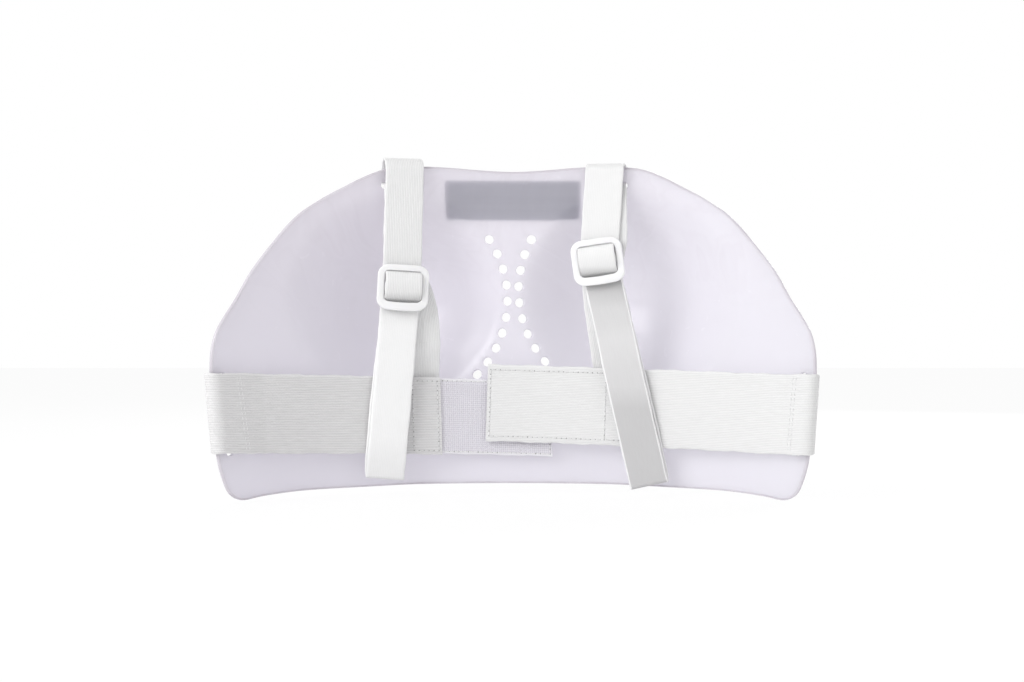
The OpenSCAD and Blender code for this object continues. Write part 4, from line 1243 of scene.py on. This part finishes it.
def build_adjuster(s, side, adj):
    O, X, Y, Z = frame_at_adj(s, TILT[s])
    W, H, wall, r = 33.3, 28.8, 4.4, 4.6
    hw, hh = W / 2 - wall / 2, H / 2 - wall / 2
    pts = []
    for cx, cz, a0 in ((1, 1, 0), (-1, 1, 90), (-1, -1, 180), (1, -1, 270)):
        for a in np.arange(a0, a0 + 91, 10):
            pts.append((cx * (hw - r) + r * math.cos(math.radians(a)), cz * (hh - r) + r * math.sin(math.radians(a))))
    p2 = resample(np.array(pts), 0.9, True)
    # the lower bar bows outwards and towards the wearer
    dz = np.where(p2[:, 1] < -hh * 0.6, -0.9 * np.clip(1 - (p2[:, 0] / hw) ** 2, 0, 1), 0)
    dzt = np.where(p2[:, 1] > hh * 0.6, 0.25 * np.clip(1 - (p2[:, 0] / hw) ** 2, 0, 1), 0)
    bow = -0.7 * np.clip(1 - (p2[:, 0] / hw) ** 2, 0, 1) * (np.abs(p2[:, 1]) > hh * 0.6)
    P = O + X * p2[:, :1] + Z * (p2[:, 1:2] + (dz + dzt)[:, None]) + Y * (BAR_Y - 0.3 + bow)[:, None]
    m = len(P)
    vertical = np.abs(p2[:, 0]) > hw - 0.5
    low = p2[:, 1] < -hh * 0.6
    w = np.where(vertical, 4.5, np.where(low, 5.4, 3.9))
    w = (np.roll(w, 1) + 2 * w + np.roll(w, -1)) / 4
    w = (np.roll(w, 2) + 2 * w + np.roll(w, -2)) / 4
    P = P + Z * (0.5 * np.clip((w - 4.5) / 0.9, 0, 1) * low)[:, None]
    h = np.full(m, 2.6)
    V1, F1 = sweep_closed(P, np.repeat(-Y[None], m, 0), w, h, n=20, power=5.0)
    # middle bar: a flattened round bar with a shallow crown
    xs = np.linspace(-hw, hw, 24)
    V2, F2 = [], []
    n = 14
    for x in xs:
        for k in range(n):
            a = 2 * math.pi * k / n
            V2.append(O + X * x + Z * (2.3 * math.cos(a)) + Y * (BAR_Y + 0.85 * math.sin(a)))
    for i in range(len(xs) - 1):
        for k in range(n):
            k2 = (k + 1) % n
            F2.append((i * n + k, i * n + k2, (i + 1) * n + k2, (i + 1) * n + k))
    F2.append(tuple(range(n))[::-1]); e = (len(xs) - 1) * n
    F2.append(tuple(e + k for k in range(n)))
    V, F = merge([(V1, F1), (V2, F2)])
    ob = make(side + "_adjuster_frame", V, F, M_ADJ, sharp=60)
    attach(ob, adj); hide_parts(side + "_slide_adjuster")
    # roll of webbing over the middle bar, tucking behind the top and bottom bars
    ctrl = [(FRONT - 0.35, 12.6), (FRONT - 0.6, 10.7), (-10.6, 9.7), (-12.6, 9.0), (-14.3, 7.2), (-15.1, 4.4), (-15.3, 1.0), (-15.0, -2.6), (-14.0, -5.8), (-12.4, -7.5), (-10.6, -8.2), (FRONT - 0.75, -10.0), (FRONT - 0.4, -12.4)]
    q = smooth(np.array(ctrl), 0.7, sub=10)
    P = O + Y * q[:, :1] + Z * q[:, 1:2]
    ob = ribbon(side + "_strap_roll_webbing", P, np.repeat(X[None], len(P), 0), SW - 1.1, ST, M_ROLL_L if s < 0 else M_ROLL_R, nu=18, ripple=0.05, seed=71 + s)
    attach(ob, adj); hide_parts(side + "_strap_roll")
    # the strap's own end, sewn round the middle bar
    a = np.radians(np.arange(200, 540, 12.0))
    ring = np.stack([BAR_Y + 0.35 + (1.75) * np.sin(a), 3.6 * np.cos(a)], 1)
    P = O + Y * ring[:, :1] + Z * ring[:, 1:2]
    ob = ribbon(side + "_strap_end_loop", P, np.repeat(X[None], len(P), 0), SW - 1.2, 1.1, M_STRAP, nu=14, ripple=0.05, seed=81 + s)
    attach(ob, adj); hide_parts(side + "_strap_sewn_end")


build_strap(-1)
build_strap(1)

# ------------------------------------------------------------------ stage, light, camera
sc = bpy.context.scene
ROOM, KEY, BACK_LIGHT = 0.70, 14.5, 8.0


def floor_mat():
    m, nt = mat("floor_paper")
    g = G(nt)
    co = g.n("ShaderNodeTexCoord")
    nz = g.noise(30.0, co.outputs["Object"], 4.0)
    c = g.mix(nz, (0.93, 0.93, 0.93), (0.95, 0.95, 0.95))
    p = g.n("ShaderNodeBsdfPrincipled", i_Roughness=0.85)
    g.l(c, p.inputs["Base Color"])
    # seen directly, the paper burns out to white as it does in a lit studio sweep
    e = g.n("ShaderNodeEmission", i_Strength=1.02)
    lp = g.n("ShaderNodeLightPath")
    mx = g.n("ShaderNodeMixShader")
    g.l(g.math("MULTIPLY", lp.outputs["Is Camera Ray"], 0.86), mx.inputs[0])
    g.l(p.outputs[0], mx.inputs[1]); g.l(e.outputs[0], mx.inputs[2])
    g.out(mx.outputs[0])
    return m


bm = bmesh.new()
bmesh.ops.create_grid(bm, x_segments=2, y_segments=2, size=6.0)
me = bpy.data.meshes.new("floor")
bm.to_mesh(me); bm.free()
me.materials.append(floor_mat())
floor = bpy.data.objects.new("floor", me)
floor.location = (0, 0, cad_box[0][2] - 0.001)
sc.collection.objects.link(floor)

world = bpy.data.worlds.new("studio")
sc.world = world
world.use_nodes = True
wt = world.node_tree
wt.nodes.clear()
g = G(wt)
lp = g.n("ShaderNodeLightPath")
co = g.n("ShaderNodeTexCoord")
cards = g.ramp(g.noise(1.6, co.outputs["Generated"], 1.0, 0.4), [(0.40, (0.80, 0.80, 0.80)), (0.47, (1.0, 1.0, 1.0)), (0.55, (1.0, 1.0, 1.0)), (0.60, (1.25, 1.25, 1.25))])
room = g.n("ShaderNodeBackground", i_Strength=ROOM)
g.l(cards, room.inputs[0])
back = g.n("ShaderNodeBackground", i_Strength=1.0)
back.inputs[0].default_value = (1, 1, 1, 1)
mx = g.n("ShaderNodeMixShader")
g.l(lp.outputs["Is Camera Ray"], mx.inputs[0])
g.l(room.outputs[0], mx.inputs[1]); g.l(back.outputs[0], mx.inputs[2])
wo = g.n("ShaderNodeOutputWorld")
g.l(mx.outputs[0], wo.inputs[0])


def area(name, loc, target, size, energy):
    l = bpy.data.lights.new(name, "AREA")
    l.size = size
    l.energy = energy
    o = bpy.data.objects.new(name, l)
    o.location = loc
    o.rotation_euler = (Vector(target) - Vector(loc)).to_track_quat("-Z", "Y").to_euler()
    sc.collection.objects.link(o)


area("key", (-1.15, -1.0, 0.75), (0, 0, 0), 1.0, KEY)
area("back", (0.7, 1.1, 0.6), (0, 0, 0), 0.9, BACK_LIGHT)

cam = bpy.data.cameras.new("camera")
cam.sensor_width = 36.0
cam.lens = 1944.0 / 1024 * 36.0
cam.clip_start, cam.clip_end = 0.01, 50
co = bpy.data.objects.new("camera", cam)
co.location = (-0.00066, -1.275, -0.007)
co.rotation_euler = (math.pi / 2, 0, 0)
sc.collection.objects.link(co)
sc.camera = co
sc.view_settings.view_transform = "Standard"
